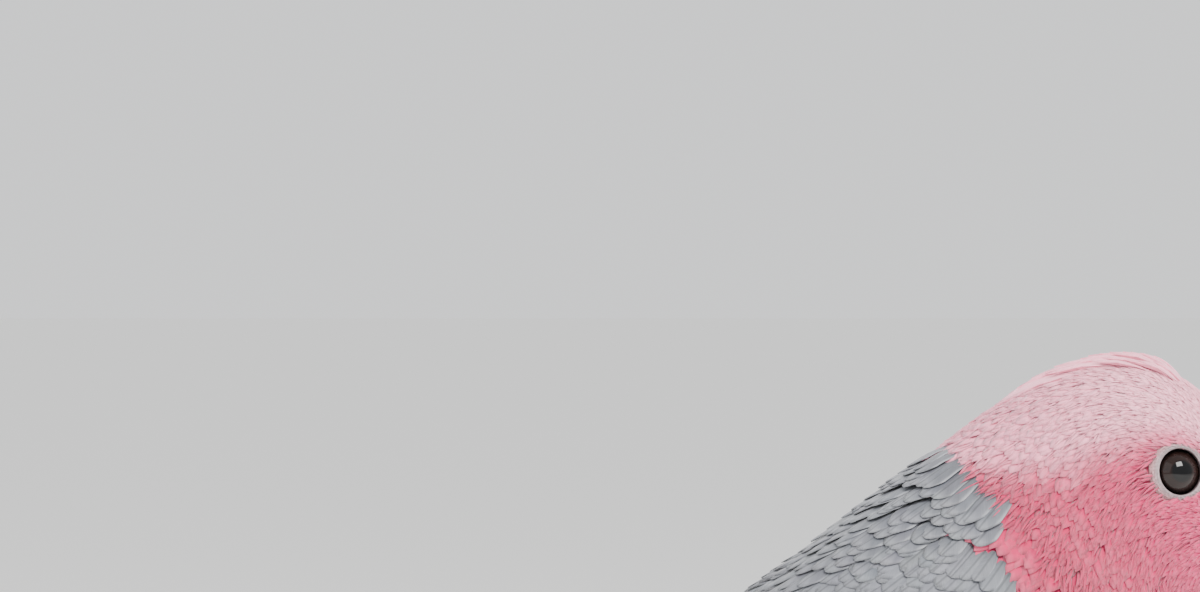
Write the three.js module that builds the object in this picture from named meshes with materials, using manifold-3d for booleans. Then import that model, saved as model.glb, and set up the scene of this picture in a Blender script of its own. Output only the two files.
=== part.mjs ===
// A galah (Eolophus roseicapilla), life size, standing at rest on its two feet.
// Millimetres, +Z up. The bird faces +X and its left side is +Y. The origin is the
// middle of the bounding box, on the floor.
import * as THREE from "three";
import { mergeVertices } from "three/addons/utils/BufferGeometryUtils.js";
import Module from "manifold-3d";

const wasm = await Module();
wasm.setup();

// ---- Driving dimensions ------------------------------------------------------

const GAP = 0.3; // clearance between solids that touch
const SLIVER = 0.06; // surfaces may move by this to lose needless triangles
const STEP = 0.9; // height of the step from one flight feather to the next

// Cross-sections of the body, each in a plane through its top point, its under point
// and the Y axis: [top x, top z, under x, under z, half width, height of the widest
// place as a share of the section, squareness].
const BODY = {
  billBase: [75.5, 171.5, 72.5, 150, 7, 0.5, 2.2],
  brow: [70.5, 183, 70, 142.5, 16.2, 0.5, 2.3],
  eye: [58, 191.3, 67, 136, 19.6, 0.53, 2.3],
  crown: [42.5, 192, 64.5, 130, 21.5, 0.53, 2.3],
  nape: [25.5, 184.5, 65, 121, 24.5, 0.5, 2.3],
  collar: [9.5, 173, 69, 106, 30.5, 0.48, 2.3],
  shoulder: [-6, 160, 64, 87, 37, 0.47, 2.2],
  back: [-25.5, 143.5, 42, 69.5, 41, 0.49, 2.2],
  loin: [-46.5, 125.5, 11, 54, 40.5, 0.5, 2.2],
  hip: [-67.5, 107.5, -22, 46.5, 34.5, 0.52, 2.2],
  rump: [-87, 91.5, -56, 48, 23.5, 0.55, 2.2],
  tailRoot: [-102, 78.5, -86, 56, 12.5, 0.58, 2.2],
};
// The folded wings lie on the body as far as the hips, then on these over the tail.
const OVER_TAIL = {
  behindHip: [-94, 88.5, -66, 52, 25, 0.5, 2.2],
  tailBase: [-124, 73.5, -108, 51, 19, 0.5, 2.1],
  midTail: [-153, 58.5, -144, 41, 15.5, 0.5, 2],
  wingTip: [-183, 45.5, -178, 31.5, 13.5, 0.5, 2],
  beyond: [-213, 34, -211, 22, 11.5, 0.5, 2],
};
const SECTIONS = Object.values(BODY);
const CARRIER = [...SECTIONS.slice(5, 10), ...Object.values(OVER_TAIL)];

// Where the body is parted, in sections counted from the bill.
const CUTS = { neck: 4, trunk: 5.5, tailBase: 10 };
const CUT_SHARE = 0.02; // of a section step, about the clearance

// The left eye looks along +Y, turned forwards and tipped up by these degrees.
const EYE = { at: [60.6, 14.1, 168], radius: 6, turn: 14.3, tip: 5.5 };
// Profiles turned about the eye's axis, each point [distance from the axis, distance
// from the middle of the eye]: the bare skin round the eye, and the hole for both.
const RING = [[4.8, 4.3], [5.2, 5], [6, 4.8], [7, 4], [7, 3.7], [5.2, 3.7], [4.8, 4.3]];
const SOCKET = [[0, -6.6], [4.8, -4.6], [6.6, 0], [5.6, 3.4], [7.4, 3.4], [7.4, 12], [0, 12]];

// The two mandibles, their horny sheath and the crest's locks, in the body's notation.
const UPPER_BILL = [
  [70, 172.5, 68.5, 157.5, 7.3, 0.42, 2.3],
  [77, 173.3, 73.8, 156.9, 7.1, 0.42, 2.2],
  [84.6, 168.6, 78.6, 154.6, 5.9, 0.42, 2],
  [88.9, 160.4, 81.6, 152, 4.3, 0.42, 2],
  [88.4, 151.8, 83.4, 149.2, 2.4, 0.4, 2],
  [85, 145.2, 84.2, 145.2, 0.5, 0.5, 2],
];
const LOWER_BILL = [
  [65, 157.4, 64.5, 146.5, 5.6, 0.6, 2.2],
  [71, 158.2, 70.5, 144.8, 6.2, 0.65, 2.2],
  [76.8, 156.4, 76.9, 145.6, 5.2, 0.7, 2.1],
  [80.8, 153.4, 81.4, 150, 2.6, 0.6, 2],
];
const CERE = { thick: 1.1, front: 79.2, low: 163 };
const CREST = [
  [71.5, 185, 69, 180, 3.4, 0.4, 2.6],
  [60, 193.4, 58, 185, 5.6, 0.4, 2.6],
  [46, 195, 43, 182, 6.4, 0.4, 2.6],
  [30, 191, 31, 181, 6, 0.4, 2.6],
  [16, 181, 18, 178.5, 1.6, 0.5, 2],
];
const CREST_AXIS = 172; // height of the line that the locks are turned about
const CREST_TURN = 13.5; // degrees from lock to lock

const WING = { start: 0.05, length: 0.42, depth: 4.4, middle: 70 };
const PRIMARIES = 5; // tips that show past the secondaries
const SECONDARIES = 5;
const TAIL = { root: [-82, 0, 66.5], length: 142, slope: 19.5, pairs: 6, spread: 1.5 };

const FOOT = { x: -3, y: 19, stagger: 7 };
const TOE_THICK = 2.9;
// The way each toe points, in degrees outwards from straight ahead, and its length.
const TOES = {
  inner_front: { heading: -24, length: 23 },
  outer_front: { heading: 13, length: 30 },
  outer_hind: { heading: 148, length: 27 },
  inner_hind: { heading: 208, length: 15 },
};
const CLAW = 11;

// ---- Colours -----------------------------------------------------------------

const finish = (color, roughness = 0.8) =>
  new THREE.MeshStandardMaterial({ color, roughness, metalness: 0 });
const FINISHES = {
  rose: finish(0xd9788c),
  crown: finish(0xe9cdd2),
  grey: finish(0x9b9ca3),
  paleGrey: finish(0xc4c5c9),
  darkGrey: finish(0x5f6067),
  bill: finish(0xd8d0bf, 0.45),
  cere: finish(0x9c8f8d, 0.6),
  ring: finish(0xa98a8a, 0.7),
  eye: finish(0x1a100c, 0.1),
  foot: finish(0x6d6a6a, 0.7),
  claw: finish(0x35322f, 0.4),
};

// ---- Shapes ------------------------------------------------------------------

const rad = THREE.MathUtils.degToRad;

// The row of numbers at share t of a table of rows, on a smooth curve through them.
function along(rows, t) {
  const last = rows.length - 1;
  const at = THREE.MathUtils.clamp(t, 0, 1) * last;
  const i = Math.min(Math.floor(at), last - 1);
  const f = at - i;
  const row = (k) => rows[THREE.MathUtils.clamp(k, 0, last)];
  return rows[i].map((b, c) => {
    const a = row(i - 1)[c];
    const d = row(i + 1)[c];
    const e = row(i + 2)[c];
    const bend = 2 * a - 5 * b + 4 * d - e + f * (3 * (b - d) + e - a);
    return b + 0.5 * f * (d - a + f * bend);
  });
}

// A geometry as a manifold-3d solid that faces outwards.
function solid(geometry) {
  const bare = geometry.clone();
  bare.deleteAttribute("normal");
  bare.deleteAttribute("uv");
  const merged = mergeVertices(bare, 1e-4);
  const triVerts = new Uint32Array(merged.index.array);
  const vertProperties = merged.attributes.position.array;
  const made = new wasm.Manifold(new wasm.Mesh({ numProp: 3, vertProperties, triVerts }));
  if (made.volume() > 0) return made;
  triVerts.reverse();
  return new wasm.Manifold(new wasm.Mesh({ numProp: 3, vertProperties, triVerts }));
}

// A closed surface of rings: a sphere's grid whose rows are moved to place(t, angle),
// with t from 0 to 1, and whose poles go to the middle of the first and last ring.
function lofted(around, rings, place) {
  const geometry = new THREE.SphereGeometry(1, around, rings + 1);
  const { position, uv } = geometry.attributes;
  const turn = (step) => (2 * Math.PI * step) / around;
  const middle = (t) => {
    const sum = new THREE.Vector3();
    for (let k = 0; k < around; k++) sum.add(place(t, turn(k)));
    return sum.divideScalar(around);
  };
  for (let i = 0; i < position.count; i++) {
    const row = Math.round((1 - uv.getY(i)) * (rings + 1));
    const step = Math.round(uv.getX(i) * around) % around;
    const t = THREE.MathUtils.clamp((row - 1) / (rings - 1), 0, 1);
    const pole = row === 0 || row === rings + 1;
    const p = pole ? middle(t) : place(t, turn(step));
    position.setXYZ(i, p.x, p.y, p.z);
  }
  return solid(geometry);
}

function turnedProfile(profile, sides = 14) {
  const points = profile.map(([x, y]) => new THREE.Vector2(x, y));
  return new THREE.LatheGeometry(points, sides);
}

const without = (shape, ...others) => others.reduce((left, other) => left.subtract(other), shape);
const joined = (shapes) => shapes.reduce((whole, shape) => whole.add(shape));
const withRoom = (make) => make(0).add(make(GAP));
const mirrored = (shape) => shape.mirror([0, 1, 0]);
const count = (n, make) => Array.from({ length: n }, (_, k) => make(k, k / (n - 1)));

// The biggest body of a solid that a cut has left in pieces.
const largest = (shape) => shape.decompose().sort((a, b) => b.volume() - a.volume())[0];

// A point of a section at an angle from its top, 0, round the bird's left side.
function onSection([topX, topZ, underX, underZ, half, widest, square], angle, grow = 0) {
  const rounded = (v) => Math.sign(v) * Math.abs(v) ** (2 / square);
  const height = Math.hypot(topX - underX, topZ - underZ);
  const up = new THREE.Vector3(topX - underX, 0, topZ - underZ).divideScalar(height);
  const middle = new THREE.Vector3(underX, 0, underZ).addScaledVector(up, widest * height);
  const rise = rounded(Math.cos(angle));
  const reach = (rise > 0 ? 1 - widest : widest) * height + grow;
  const out = rounded(Math.sin(angle)) * (half + grow);
  return middle.addScaledVector(up, rise * reach).add(new THREE.Vector3(0, out, 0));
}

function sectioned(table, around, rings, from = 0, to = 1, grow = 0) {
  return lofted(around, rings, (t, angle) =>
    onSection(along(table, from + (to - from) * t), angle, grow),
  );
}

// A tapered limb along points, each [x, y, z, half height, half width].
function limb(points, around, rings, grow = 0) {
  return lofted(around, rings, (t, angle) => {
    const [x, y, z, tall, wide] = along(points, t);
    const [bx, by, bz] = along(points, t - 0.02);
    const [ax, ay, az] = along(points, t + 0.02);
    const ahead = new THREE.Vector3(ax - bx, ay - by, az - bz).normalize();
    const side = new THREE.Vector3(0, 0, 1).cross(ahead).normalize();
    const up = ahead.clone().cross(side);
    return new THREE.Vector3(x, y, z)
      .addScaledVector(up, Math.cos(angle) * (tall + grow))
      .addScaledVector(side, Math.sin(angle) * (wide + grow));
  });
}

// Feathers side by side as one closed sheet. Each lies over the one before it, so that
// the sheet steps up at every outer edge, and each has a rounded end. A feather's
// path(t) gives its middle line, the way to its outer edge and its normal.
function fan(feathers, rings, thick, grow = 0) {
  const edge = (k, t, side, lift) => {
    const { path, halfWidth, length } = feathers[k];
    const { point, across, normal } = path(t * (1 + grow / length));
    const widening = 0.55 + 0.45 * Math.sin(Math.min(t * 1.9, Math.PI / 2));
    const rounding = 1 - 0.35 * Math.max((t - 0.9) / 0.1, 0);
    point.addScaledVector(across, side * (halfWidth * widening * rounding + grow));
    return { point: point.addScaledVector(normal, lift), normal, across };
  };
  const middle = (outer, inner, t) => {
    const point = outer.point.clone().lerp(inner.point, 0.5);
    const ahead = outer.normal.clone().cross(outer.across);
    const tip = t < 1 ? 0 : 0.35 * outer.point.distanceTo(inner.point);
    return { point: point.addScaledVector(ahead, tip), normal: outer.normal };
  };
  const last = feathers.length - 1;
  const sections = rings.map((t) => {
    const row = feathers.flatMap((_, k) => {
      const outer = edge(k, t, 1, STEP / 2);
      const inner = k < last ? edge(k + 1, t, 1, -STEP / 2) : edge(k, t, -1, 0);
      return [outer, middle(outer, inner, t), inner];
    });
    const face = (sign) =>
      row.map(({ point, normal }) =>
        point.clone().addScaledVector(normal, sign * (thick / 2 + grow)),
      );
    return [...face(1), ...face(-1).reverse()];
  });
  const size = sections[0].length;
  const index = [];
  const quad = (a, b, c, d) => index.push(a, b, c, a, c, d);
  for (let ring = 0; ring < sections.length - 1; ring++) {
    for (let i = 0; i < size; i++) {
      const next = (i + 1) % size;
      const base = ring * size;
      quad(base + i, base + next, base + size + next, base + size + i);
    }
  }
  const end = (sections.length - 1) * size;
  for (let i = 0; i < size / 2 - 1; i++) {
    quad(i, size - 1 - i, size - 2 - i, i + 1);
    quad(end + i, end + i + 1, end + size - 2 - i, end + size - 1 - i);
  }
  const geometry = new THREE.BufferGeometry().setFromPoints(sections.flat());
  geometry.setIndex(index);
  return solid(geometry);
}

// ---- Body, bill and crest ----------------------------------------------------

const LAST = SECTIONS.length - 1;

// A length of the body, with a ring at every section and halfway between them.
function bodyLength(from, to, grow = 0) {
  return sectioned(SECTIONS, 24, 2 * Math.round(to - from) + 1, from / LAST, to / LAST, grow);
}

const wholeBody = bodyLength(0, LAST, GAP);

const upperBill = (grow = 0) => sectioned(UPPER_BILL, 14, 11, 0, 1, grow);
const lowerBill = sectioned(LOWER_BILL, 12, 6);

// The soft saddle over the root of the bill, where the nostrils are.
function cere() {
  const { thick, front, low } = CERE;
  const window = new THREE.BoxGeometry(40, 40, 40).translate(front - 20, 0, low + 20);
  return without(upperBill(thick + GAP).intersect(solid(window)), upperBill(GAP), wholeBody);
}

const crest = joined(
  [-2, -1, 0, 1, 2].map((k) =>
    sectioned(CREST, 6, 5, 0.06 * Math.abs(k), 1 - 0.09 * Math.abs(k))
      .translate([0, 0, -CREST_AXIS])
      .rotate([k * CREST_TURN, 0, 0])
      .translate([0, 0, CREST_AXIS]),
  ),
);

// ---- Eyes --------------------------------------------------------------------

// A geometry made round the Y axis, set on the left eye's own axis.
function atEye(geometry) {
  return solid(
    geometry
      .rotateX(rad(EYE.tip))
      .rotateZ(-rad(EYE.turn))
      .translate(...EYE.at),
  );
}

const eyeball = atEye(new THREE.SphereGeometry(EYE.radius, 12, 8));
const eyeRing = atEye(turnedProfile(RING));
const socket = atEye(turnedProfile(SOCKET));

// ---- Wings -------------------------------------------------------------------

// A point at height h over the sections that carry the wing, with its normal.
function overCarrier(v, angle, h) {
  const at = (a, b) => onSection(along(CARRIER, a), b);
  const back = at(v + 0.01, angle).sub(at(v - 0.01, angle));
  const down = at(v, angle + 0.02).sub(at(v, angle - 0.02));
  const normal = back.cross(down).normalize();
  if (normal.y < 0) normal.negate();
  return { point: at(v, angle).addScaledVector(normal, h), normal };
}

// A flight feather of the left wing on the carrier, from root to tip, each
// [v, angle in degrees, height].
function flightFeather(root, tip, halfWidth) {
  const place = (t) => {
    const [v, angle, h] = root.map((a, i) => a + (tip[i] - a) * t);
    return overCarrier(v, rad(angle), h);
  };
  const path = (t) => {
    const { point, normal } = place(t);
    const ahead = place(t + 0.02).point.sub(place(t - 0.02).point).normalize();
    return { point, normal, across: ahead.cross(normal).normalize() };
  };
  return { path, halfWidth, length: place(0).point.distanceTo(place(1).point) };
}

const WING_RINGS = [0, 0.25, 0.5, 0.75, 0.92, 1];

function primaries(grow = 0) {
  const feathers = count(PRIMARIES, (k, s) =>
    flightFeather(
      [0.38, 104 - 24 * s, 1 + 0.4 * s],
      [0.935 - 0.2 * s, 66 - 24 * s, 1.4 + 1.8 * s],
      8 - s,
    ),
  );
  return fan(feathers, WING_RINGS, 1.4, grow);
}

function secondaries(grow = 0) {
  const feathers = count(SECONDARIES, (k, s) =>
    flightFeather(
      [0.32, 94 - 74 * s, 2.2 + s],
      [0.67 - 0.07 * s, 80 - 62 * s, 3 + 1.4 * s],
      11,
    ),
  );
  return fan(feathers, WING_RINGS, 1.4, grow);
}

// The arm with its coverts: a shell over the carrier, thickest along its middle.
function arm(grow = 0) {
  return lofted(14, 9, (t, turn) => {
    const v = WING.start + WING.length * t + grow * 0.004 * (2 * t - 1);
    const opening = Math.min(t / 0.35, 1);
    const spread = 12 + 38 * Math.sqrt(opening * (2 - opening)) + 3 * grow;
    const angle = rad(WING.middle - 8 * t + spread * Math.cos(turn));
    const bulge = Math.abs(Math.sin(turn)) ** 0.7;
    const outer = 1 + (WING.depth - 1 - 1.2 * t) * bulge * (0.4 + 0.6 * opening) + grow;
    return overCarrier(v, angle, turn < Math.PI ? outer : -4 * bulge - grow).point;
  });
}

// ---- Tail --------------------------------------------------------------------

// One of the left feathers of the tail, the k-th out from the middle.
function rectrix(k) {
  const root = new THREE.Vector3(...TAIL.root);
  root.add(new THREE.Vector3(0, 1.4 + 1.1 * k, -0.7 * k));
  const slope = rad(TAIL.slope + 0.4 * k);
  const outwards = Math.tan(rad(TAIL.spread * (0.4 + 0.7 * k)));
  const ahead = new THREE.Vector3(-Math.cos(slope), outwards, -Math.sin(slope)).normalize();
  const tilt = rad(4 + 4 * k);
  const across = new THREE.Vector3(0, Math.cos(tilt), -Math.sin(tilt));
  const normal = ahead.clone().cross(across).normalize();
  const length = TAIL.length - 1.7 * k;
  const path = (t) => ({
    point: root.clone().addScaledVector(ahead, length * t),
    across,
    normal,
  });
  return { path, halfWidth: 9, length };
}

function tailFeathers(grow = 0) {
  const outerFirst = count(TAIL.pairs, (k) => rectrix(TAIL.pairs - 1 - k));
  const left = fan(outerFirst, [0, 0.55, 0.9, 1], 1.4, grow);
  return left.add(mirrored(left));
}

// ---- Legs --------------------------------------------------------------------

function legPlan(side) {
  const x = FOOT.x + side * FOOT.stagger;
  const y = side * FOOT.y;
  return { x, y, ankle: x - 15 };
}

// A limb of level sections down through points, each [x, y, z, half length, half width].
function post(points, around, rings) {
  return lofted(around, rings, (t, angle) => {
    const [x, y, z, long, wide] = along(points, t);
    return new THREE.Vector3(x + Math.cos(angle) * long, y + Math.sin(angle) * wide, z);
  });
}

function thigh(side) {
  const { x, y, ankle } = legPlan(side);
  return post(
    [
      [x + 4, y - side * 3, 86, 17, 13],
      [x + 2, y - side * 1, 64, 19, 15],
      [x - 4, y, 47, 15.5, 12.5],
      [ankle + 3.5, y, 35, 8.4, 7.4],
      [ankle + 1, y, 28, 5.2, 5],
      [ankle + 2, y, 24, 4.9, 4.8],
    ],
    11,
    8,
  );
}

function tarsus(side, grow = 0) {
  const { x, y, ankle } = legPlan(side);
  return limb(
    [
      [ankle - 1.5, y, 29.5, 3.4, 3.8],
      [ankle + 1.5, y, 25.5, 4.1, 4.2],
      [x - 7.5, y, 15, 3.3, 3.6],
      [x - 1, y, 6, 4.2, 5.2],
      [x + 3.5, y, 2.7, 3, 4.6],
    ],
    8,
    6,
    grow,
  );
}

// Rows for a limb straight out from the foot, each [reach, height, half height, half width].
function outFromFoot(side, heading, rows) {
  const { x, y } = legPlan(side);
  const turn = rad(heading * side);
  return rows.map(([reach, ...rest]) => [
    x + Math.cos(turn) * reach,
    y + Math.sin(turn) * reach,
    ...rest,
  ]);
}

function toe(side, { heading, length }, grow = 0) {
  const rows = [
    [3, 4, TOE_THICK, TOE_THICK * 0.95],
    [length * 0.4, 2.9, TOE_THICK, TOE_THICK],
    [length * 0.72, 2.2, TOE_THICK * 0.86, TOE_THICK * 0.9],
    [length, 1.9, TOE_THICK * 0.8, TOE_THICK * 0.8],
  ];
  return limb(outFromFoot(side, heading, rows), 6, 4, grow);
}

function claw(side, { heading, length }) {
  const rows = [
    [length - 2, 2.8, 1.7, 1.4],
    [length + CLAW * 0.3, 4.3, 1.6, 1.3],
    [length + CLAW * 0.7, 3.1, 1.05, 0.9],
    [length + CLAW * 0.92, 0.8, 0.45, 0.4],
  ];
  return limb(outFromFoot(side, heading, rows), 5, 4);
}

// Everything under the floor, which flattens the soles, and on the bird's right.
const underFloor = solid(new THREE.BoxGeometry(800, 400, 60).translate(0, 0, -30));
const rightHalf = solid(new THREE.BoxGeometry(800, 400, 800).translate(0, GAP / 2 - 200, 0));

// ---- The bird ----------------------------------------------------------------

const galah = new THREE.Group();

// Adds a solid as a mesh, without the slivers that the cuts have left.
function add(name, shape, material) {
  const { vertProperties, triVerts } = largest(shape.simplify(SLIVER)).getMesh();
  const geometry = new THREE.BufferGeometry();
  geometry.setAttribute("position", new THREE.BufferAttribute(vertProperties, 3));
  geometry.setIndex(new THREE.BufferAttribute(triVerts, 1));
  geometry.computeVertexNormals();
  const mesh = new THREE.Mesh(geometry, FINISHES[material]);
  mesh.name = name;
  galah.add(mesh);
}

const skull = bodyLength(0, CUTS.neck - CUT_SHARE);
add("head", without(skull, socket, mirrored(socket)), "rose");
add("neck", bodyLength(CUTS.neck, CUTS.trunk - CUT_SHARE), "rose");
add("trunk", bodyLength(CUTS.trunk, CUTS.tailBase - CUT_SHARE), "rose");
add("tail_base", bodyLength(CUTS.tailBase, LAST), "paleGrey");
add("crest", without(crest, wholeBody), "crown");
add("bill_upper", without(upperBill(), wholeBody), "bill");
add("bill_lower", without(lowerBill, upperBill(GAP), wholeBody), "bill");
add("cere", cere(), "cere");
add("tail", without(tailFeathers(), wholeBody), "darkGrey");

const tailRoom = withRoom(tailFeathers);
const LEFT = {
  eye: [eyeball, "eye"],
  eye_ring: [eyeRing, "ring"],
  wing: [without(arm(), wholeBody), "grey"],
  secondaries: [without(secondaries(), arm(GAP), wholeBody, rightHalf), "grey"],
  primaries: [
    without(primaries(), withRoom(secondaries), arm(GAP), wholeBody, tailRoom, rightHalf),
    "darkGrey",
  ],
};

for (const [letter, side] of [["l", 1], ["r", -1]]) {
  for (const [name, [shape, material]] of Object.entries(LEFT)) {
    add(`${name}_${letter}`, side > 0 ? shape : mirrored(shape), material);
  }
  add("thigh_" + letter, without(thigh(side), wholeBody, tarsus(side, GAP)), "rose");
  add("tarsus_" + letter, without(tarsus(side), underFloor), "foot");
  const placed = [tarsus(side, GAP)];
  for (const [name, plan] of Object.entries(TOES)) {
    add(`toe_${name}_${letter}`, without(toe(side, plan), underFloor, ...placed), "foot");
    add(`claw_${name}_${letter}`, without(claw(side, plan), toe(side, plan, GAP)), "claw");
    placed.push(toe(side, plan, GAP));
  }
}

// The origin goes to the middle of the bird's box.
const box = new THREE.Box3().setFromObject(galah);
galah.position.set(-(box.min.x + box.max.x) / 2, 0, 0);

export default galah;
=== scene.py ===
import math
from functools import partial

import bpy
import numpy as np
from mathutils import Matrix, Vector
from mathutils.kdtree import KDTree


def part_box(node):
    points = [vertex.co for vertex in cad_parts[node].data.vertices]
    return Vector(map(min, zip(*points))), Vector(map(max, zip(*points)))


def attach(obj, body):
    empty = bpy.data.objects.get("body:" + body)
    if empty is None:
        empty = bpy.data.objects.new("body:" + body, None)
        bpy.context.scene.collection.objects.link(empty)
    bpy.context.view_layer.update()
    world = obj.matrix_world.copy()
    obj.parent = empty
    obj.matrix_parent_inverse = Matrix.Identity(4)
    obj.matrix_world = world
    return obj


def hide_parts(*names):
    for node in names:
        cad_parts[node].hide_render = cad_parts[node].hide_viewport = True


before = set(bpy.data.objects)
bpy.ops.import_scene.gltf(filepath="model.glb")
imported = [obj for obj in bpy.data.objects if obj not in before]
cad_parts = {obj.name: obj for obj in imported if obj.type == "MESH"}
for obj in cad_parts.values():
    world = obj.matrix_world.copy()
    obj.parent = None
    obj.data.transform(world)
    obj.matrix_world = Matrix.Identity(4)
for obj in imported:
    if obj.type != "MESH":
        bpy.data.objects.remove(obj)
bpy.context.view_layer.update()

SEED = 7

# ---- Driving dimensions, as in the solids ----

# Sections: top x, top z, under x, under z, half width, height of the widest place as
# a share of the section, squareness.
BODY = np.array([
    [75.5, 171.5, 72.5, 150, 7, 0.5, 2.2],  # base of the bill
    [70.5, 183, 70, 142.5, 16.2, 0.5, 2.3],  # brow
    [58, 191.3, 67, 136, 19.6, 0.53, 2.3],  # eye
    [42.5, 192, 64.5, 130, 21.5, 0.53, 2.3],  # crown
    [25.5, 184.5, 65, 121, 24.5, 0.5, 2.3],  # nape
    [9.5, 173, 69, 106, 30.5, 0.48, 2.3],  # collar
    [-6, 160, 64, 87, 37, 0.47, 2.2],  # shoulder
    [-25.5, 143.5, 42, 69.5, 41, 0.49, 2.2],  # back
    [-46.5, 125.5, 11, 54, 40.5, 0.5, 2.2],  # loin
    [-67.5, 107.5, -22, 46.5, 34.5, 0.52, 2.2],  # hip
    [-87, 91.5, -56, 48, 23.5, 0.55, 2.2],  # rump
    [-102, 78.5, -86, 56, 12.5, 0.58, 2.2],  # root of the tail
])
OVER_TAIL = np.array([
    [-94, 88.5, -66, 52, 25, 0.5, 2.2],
    [-124, 73.5, -108, 51, 19, 0.5, 2.1],
    [-153, 58.5, -144, 41, 15.5, 0.5, 2],
    [-183, 45.5, -178, 31.5, 13.5, 0.5, 2],
    [-213, 34, -211, 22, 11.5, 0.5, 2],
])
# What the folded wing lies on starts at a section of the body and goes on over the tail.
CARRIER_START = 5
CARRIER = np.vstack([BODY[CARRIER_START:10], OVER_TAIL])
CARRIER_STEPS = len(CARRIER) - 1
# The coat of the body goes on over the root of the tail.
COAT = np.vstack([BODY, [[-124, 61, -116, 45, 13, 0.5, 2.2], [-150, 49, -146, 37, 14, 0.5, 2.2]]])
EYE = {"at": (60.6, 14.1, 168.0), "radius": 6.0, "turn": 14.3, "tip": 5.5}
UPPER_BILL = np.array([
    [70, 172.5, 68.5, 157.5, 7.3, 0.42, 2.3],
    [77, 173.3, 73.8, 156.9, 7.1, 0.42, 2.2],
    [84.6, 168.6, 78.6, 154.6, 5.9, 0.42, 2],
    [88.9, 160.4, 81.6, 152, 4.3, 0.42, 2],
    [88.4, 151.8, 83.4, 149.2, 2.4, 0.4, 2],
    [85, 145.2, 84.2, 145.2, 0.5, 0.5, 2],
])
LOWER_BILL = np.array([
    [65, 157.4, 64.5, 146.5, 5.6, 0.6, 2.2],
    [71, 158.2, 70.5, 144.8, 6.2, 0.65, 2.2],
    [76.8, 156.4, 76.9, 145.6, 5.2, 0.7, 2.1],
    [80.8, 153.4, 81.4, 150, 2.6, 0.6, 2],
])
CREST = np.array([
    [71.5, 185, 69, 180, 3.4, 0.4, 2.6],
    [60, 193.4, 58, 185, 5.6, 0.4, 2.6],
    [46, 195, 43, 182, 6.4, 0.4, 2.6],
    [30, 191, 31, 181, 6, 0.4, 2.6],
    [16, 181, 18, 178.5, 1.6, 0.5, 2],
])
CREST_AXIS = 172.0
# The wing's arm lies along a share of its carrier. Its middle is at an angle from the
# top line and falls by some degrees to its end; it opens over the first third.
WING = {"start": 0.05, "length": 0.42, "depth": 4.4, "thinning": 1.2}
WING_ANGLE = {"middle": 70.0, "fall": -8.0, "least": 12.0, "more": 38.0, "opening": 0.35}
TAIL = {"root": (-82.0, 0.0, 66.5), "length": 142.0, "slope": 19.5, "pairs": 6, "spread": 1.5}
FOOT = {"x": -3.0, "y": 19.0, "stagger": 7.0}
TOE_THICK = 2.9
# The scales run along a toe where the skin is near its middle line, which is so high.
TOE_MIDDLE = 2.5
TOE_NEAR = 5.5
# Toes: degrees outwards from straight ahead, and mm from the foot to the claw.
TOES = {
    "inner_front": (-24, 23),
    "outer_front": (13, 30),
    "outer_hind": (148, 27),
    "inner_hind": (208, 15),
}
CLAW = 11.0
SIDES = {"l": 1, "r": -1}

eye_low, eye_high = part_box("eye_l")
SHIFT = np.array([(eye_low[0] + eye_high[0]) * 500 - EYE["at"][0], 0, 0])


# ---- Small maths ----


def unit(vectors):
    """Vectors of length one, along the last axis."""
    return vectors / np.maximum(np.linalg.norm(vectors, axis=-1, keepdims=True), 1e-9)


def smooth_step(low, high, value):
    """0 below low, 1 above high, and a soft rise between."""
    share = np.clip((value - low) / (high - low), 0, 1)
    return share * share * (3 - 2 * share)


def window(value, *edges):
    """0 outside four edges in a row, 1 between the inner two."""
    return smooth_step(edges[0], edges[1], value) * smooth_step(edges[3], edges[2], value)


def mix(a, b, share):
    """Colours between a and b, by one share for all or one for each."""
    share = np.asarray(share)[..., None]
    return np.asarray(a) * (1 - share) + np.asarray(b) * share


def layered(colour, *layers):
    """A colour with others laid over it in turn, each with its share."""
    for over, share in layers:
        colour = mix(colour, over, share)
    return colour


def linear(red, green, blue):
    """A colour of 0 to 255 on a screen as linear light."""
    shares = np.array([red, green, blue]) / 255
    return np.where(shares < 0.04045, shares / 12.92, ((shares + 0.055) / 1.055) ** 2.4)


def ramps(s, *columns):
    """For each first number and change, a column that runs evenly with s."""
    return np.stack([first + change * s for first, change in columns], -1)


def pairs_of(first, second):
    """Every pair of two lists' numbers, as two flat arrays."""
    return [grid.ravel() for grid in np.meshgrid(first, second, indexing="ij")]


def along(rows, at):
    """A table's rows at places between them, on a smooth curve, straight past the ends."""
    at = np.atleast_1d(np.asarray(at, float))
    last = len(rows) - 1
    inside = np.clip(at, 0, last)
    i = np.minimum(inside.astype(int), last - 1)
    f = (inside - i)[:, None]
    a, b = rows[np.maximum(i - 1, 0)], rows[i]
    c, d = rows[i + 1], rows[np.minimum(i + 2, last)]
    smooth = b + 0.5 * f * (c - a + f * (2 * a - 5 * b + 4 * c - d + f * (3 * (b - c) + d - a)))
    slope = np.where(at[:, None] > last, rows[-1] - rows[-2], rows[1] - rows[0])
    return smooth + (at - inside)[:, None] * slope


def on_section(rows, angle, grow=0.0):
    """Points of sections at an angle from the top, 0, round the bird's left side."""
    top_x, top_z, under_x, under_z, half, widest, square = rows.T
    height = np.hypot(top_x - under_x, top_z - under_z)
    rise = np.sign(np.cos(angle)) * np.abs(np.cos(angle)) ** (2 / square)
    out = np.sign(np.sin(angle)) * np.abs(np.sin(angle)) ** (2 / square)
    reach = np.where(rise > 0, 1 - widest, widest) * height + grow
    along_up = (widest * height + rise * reach) / height
    x = under_x + (top_x - under_x) * along_up
    z = under_z + (top_z - under_z) * along_up
    return np.stack([x, out * (half + grow), z], axis=-1)


def wrapped(a):
    """Angles as ones from -pi to pi."""
    return (a + np.pi) % (2 * np.pi) - np.pi


def from_top(a):
    """Angles from the top line, alike on both sides."""
    return np.abs(wrapped(a))


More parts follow.
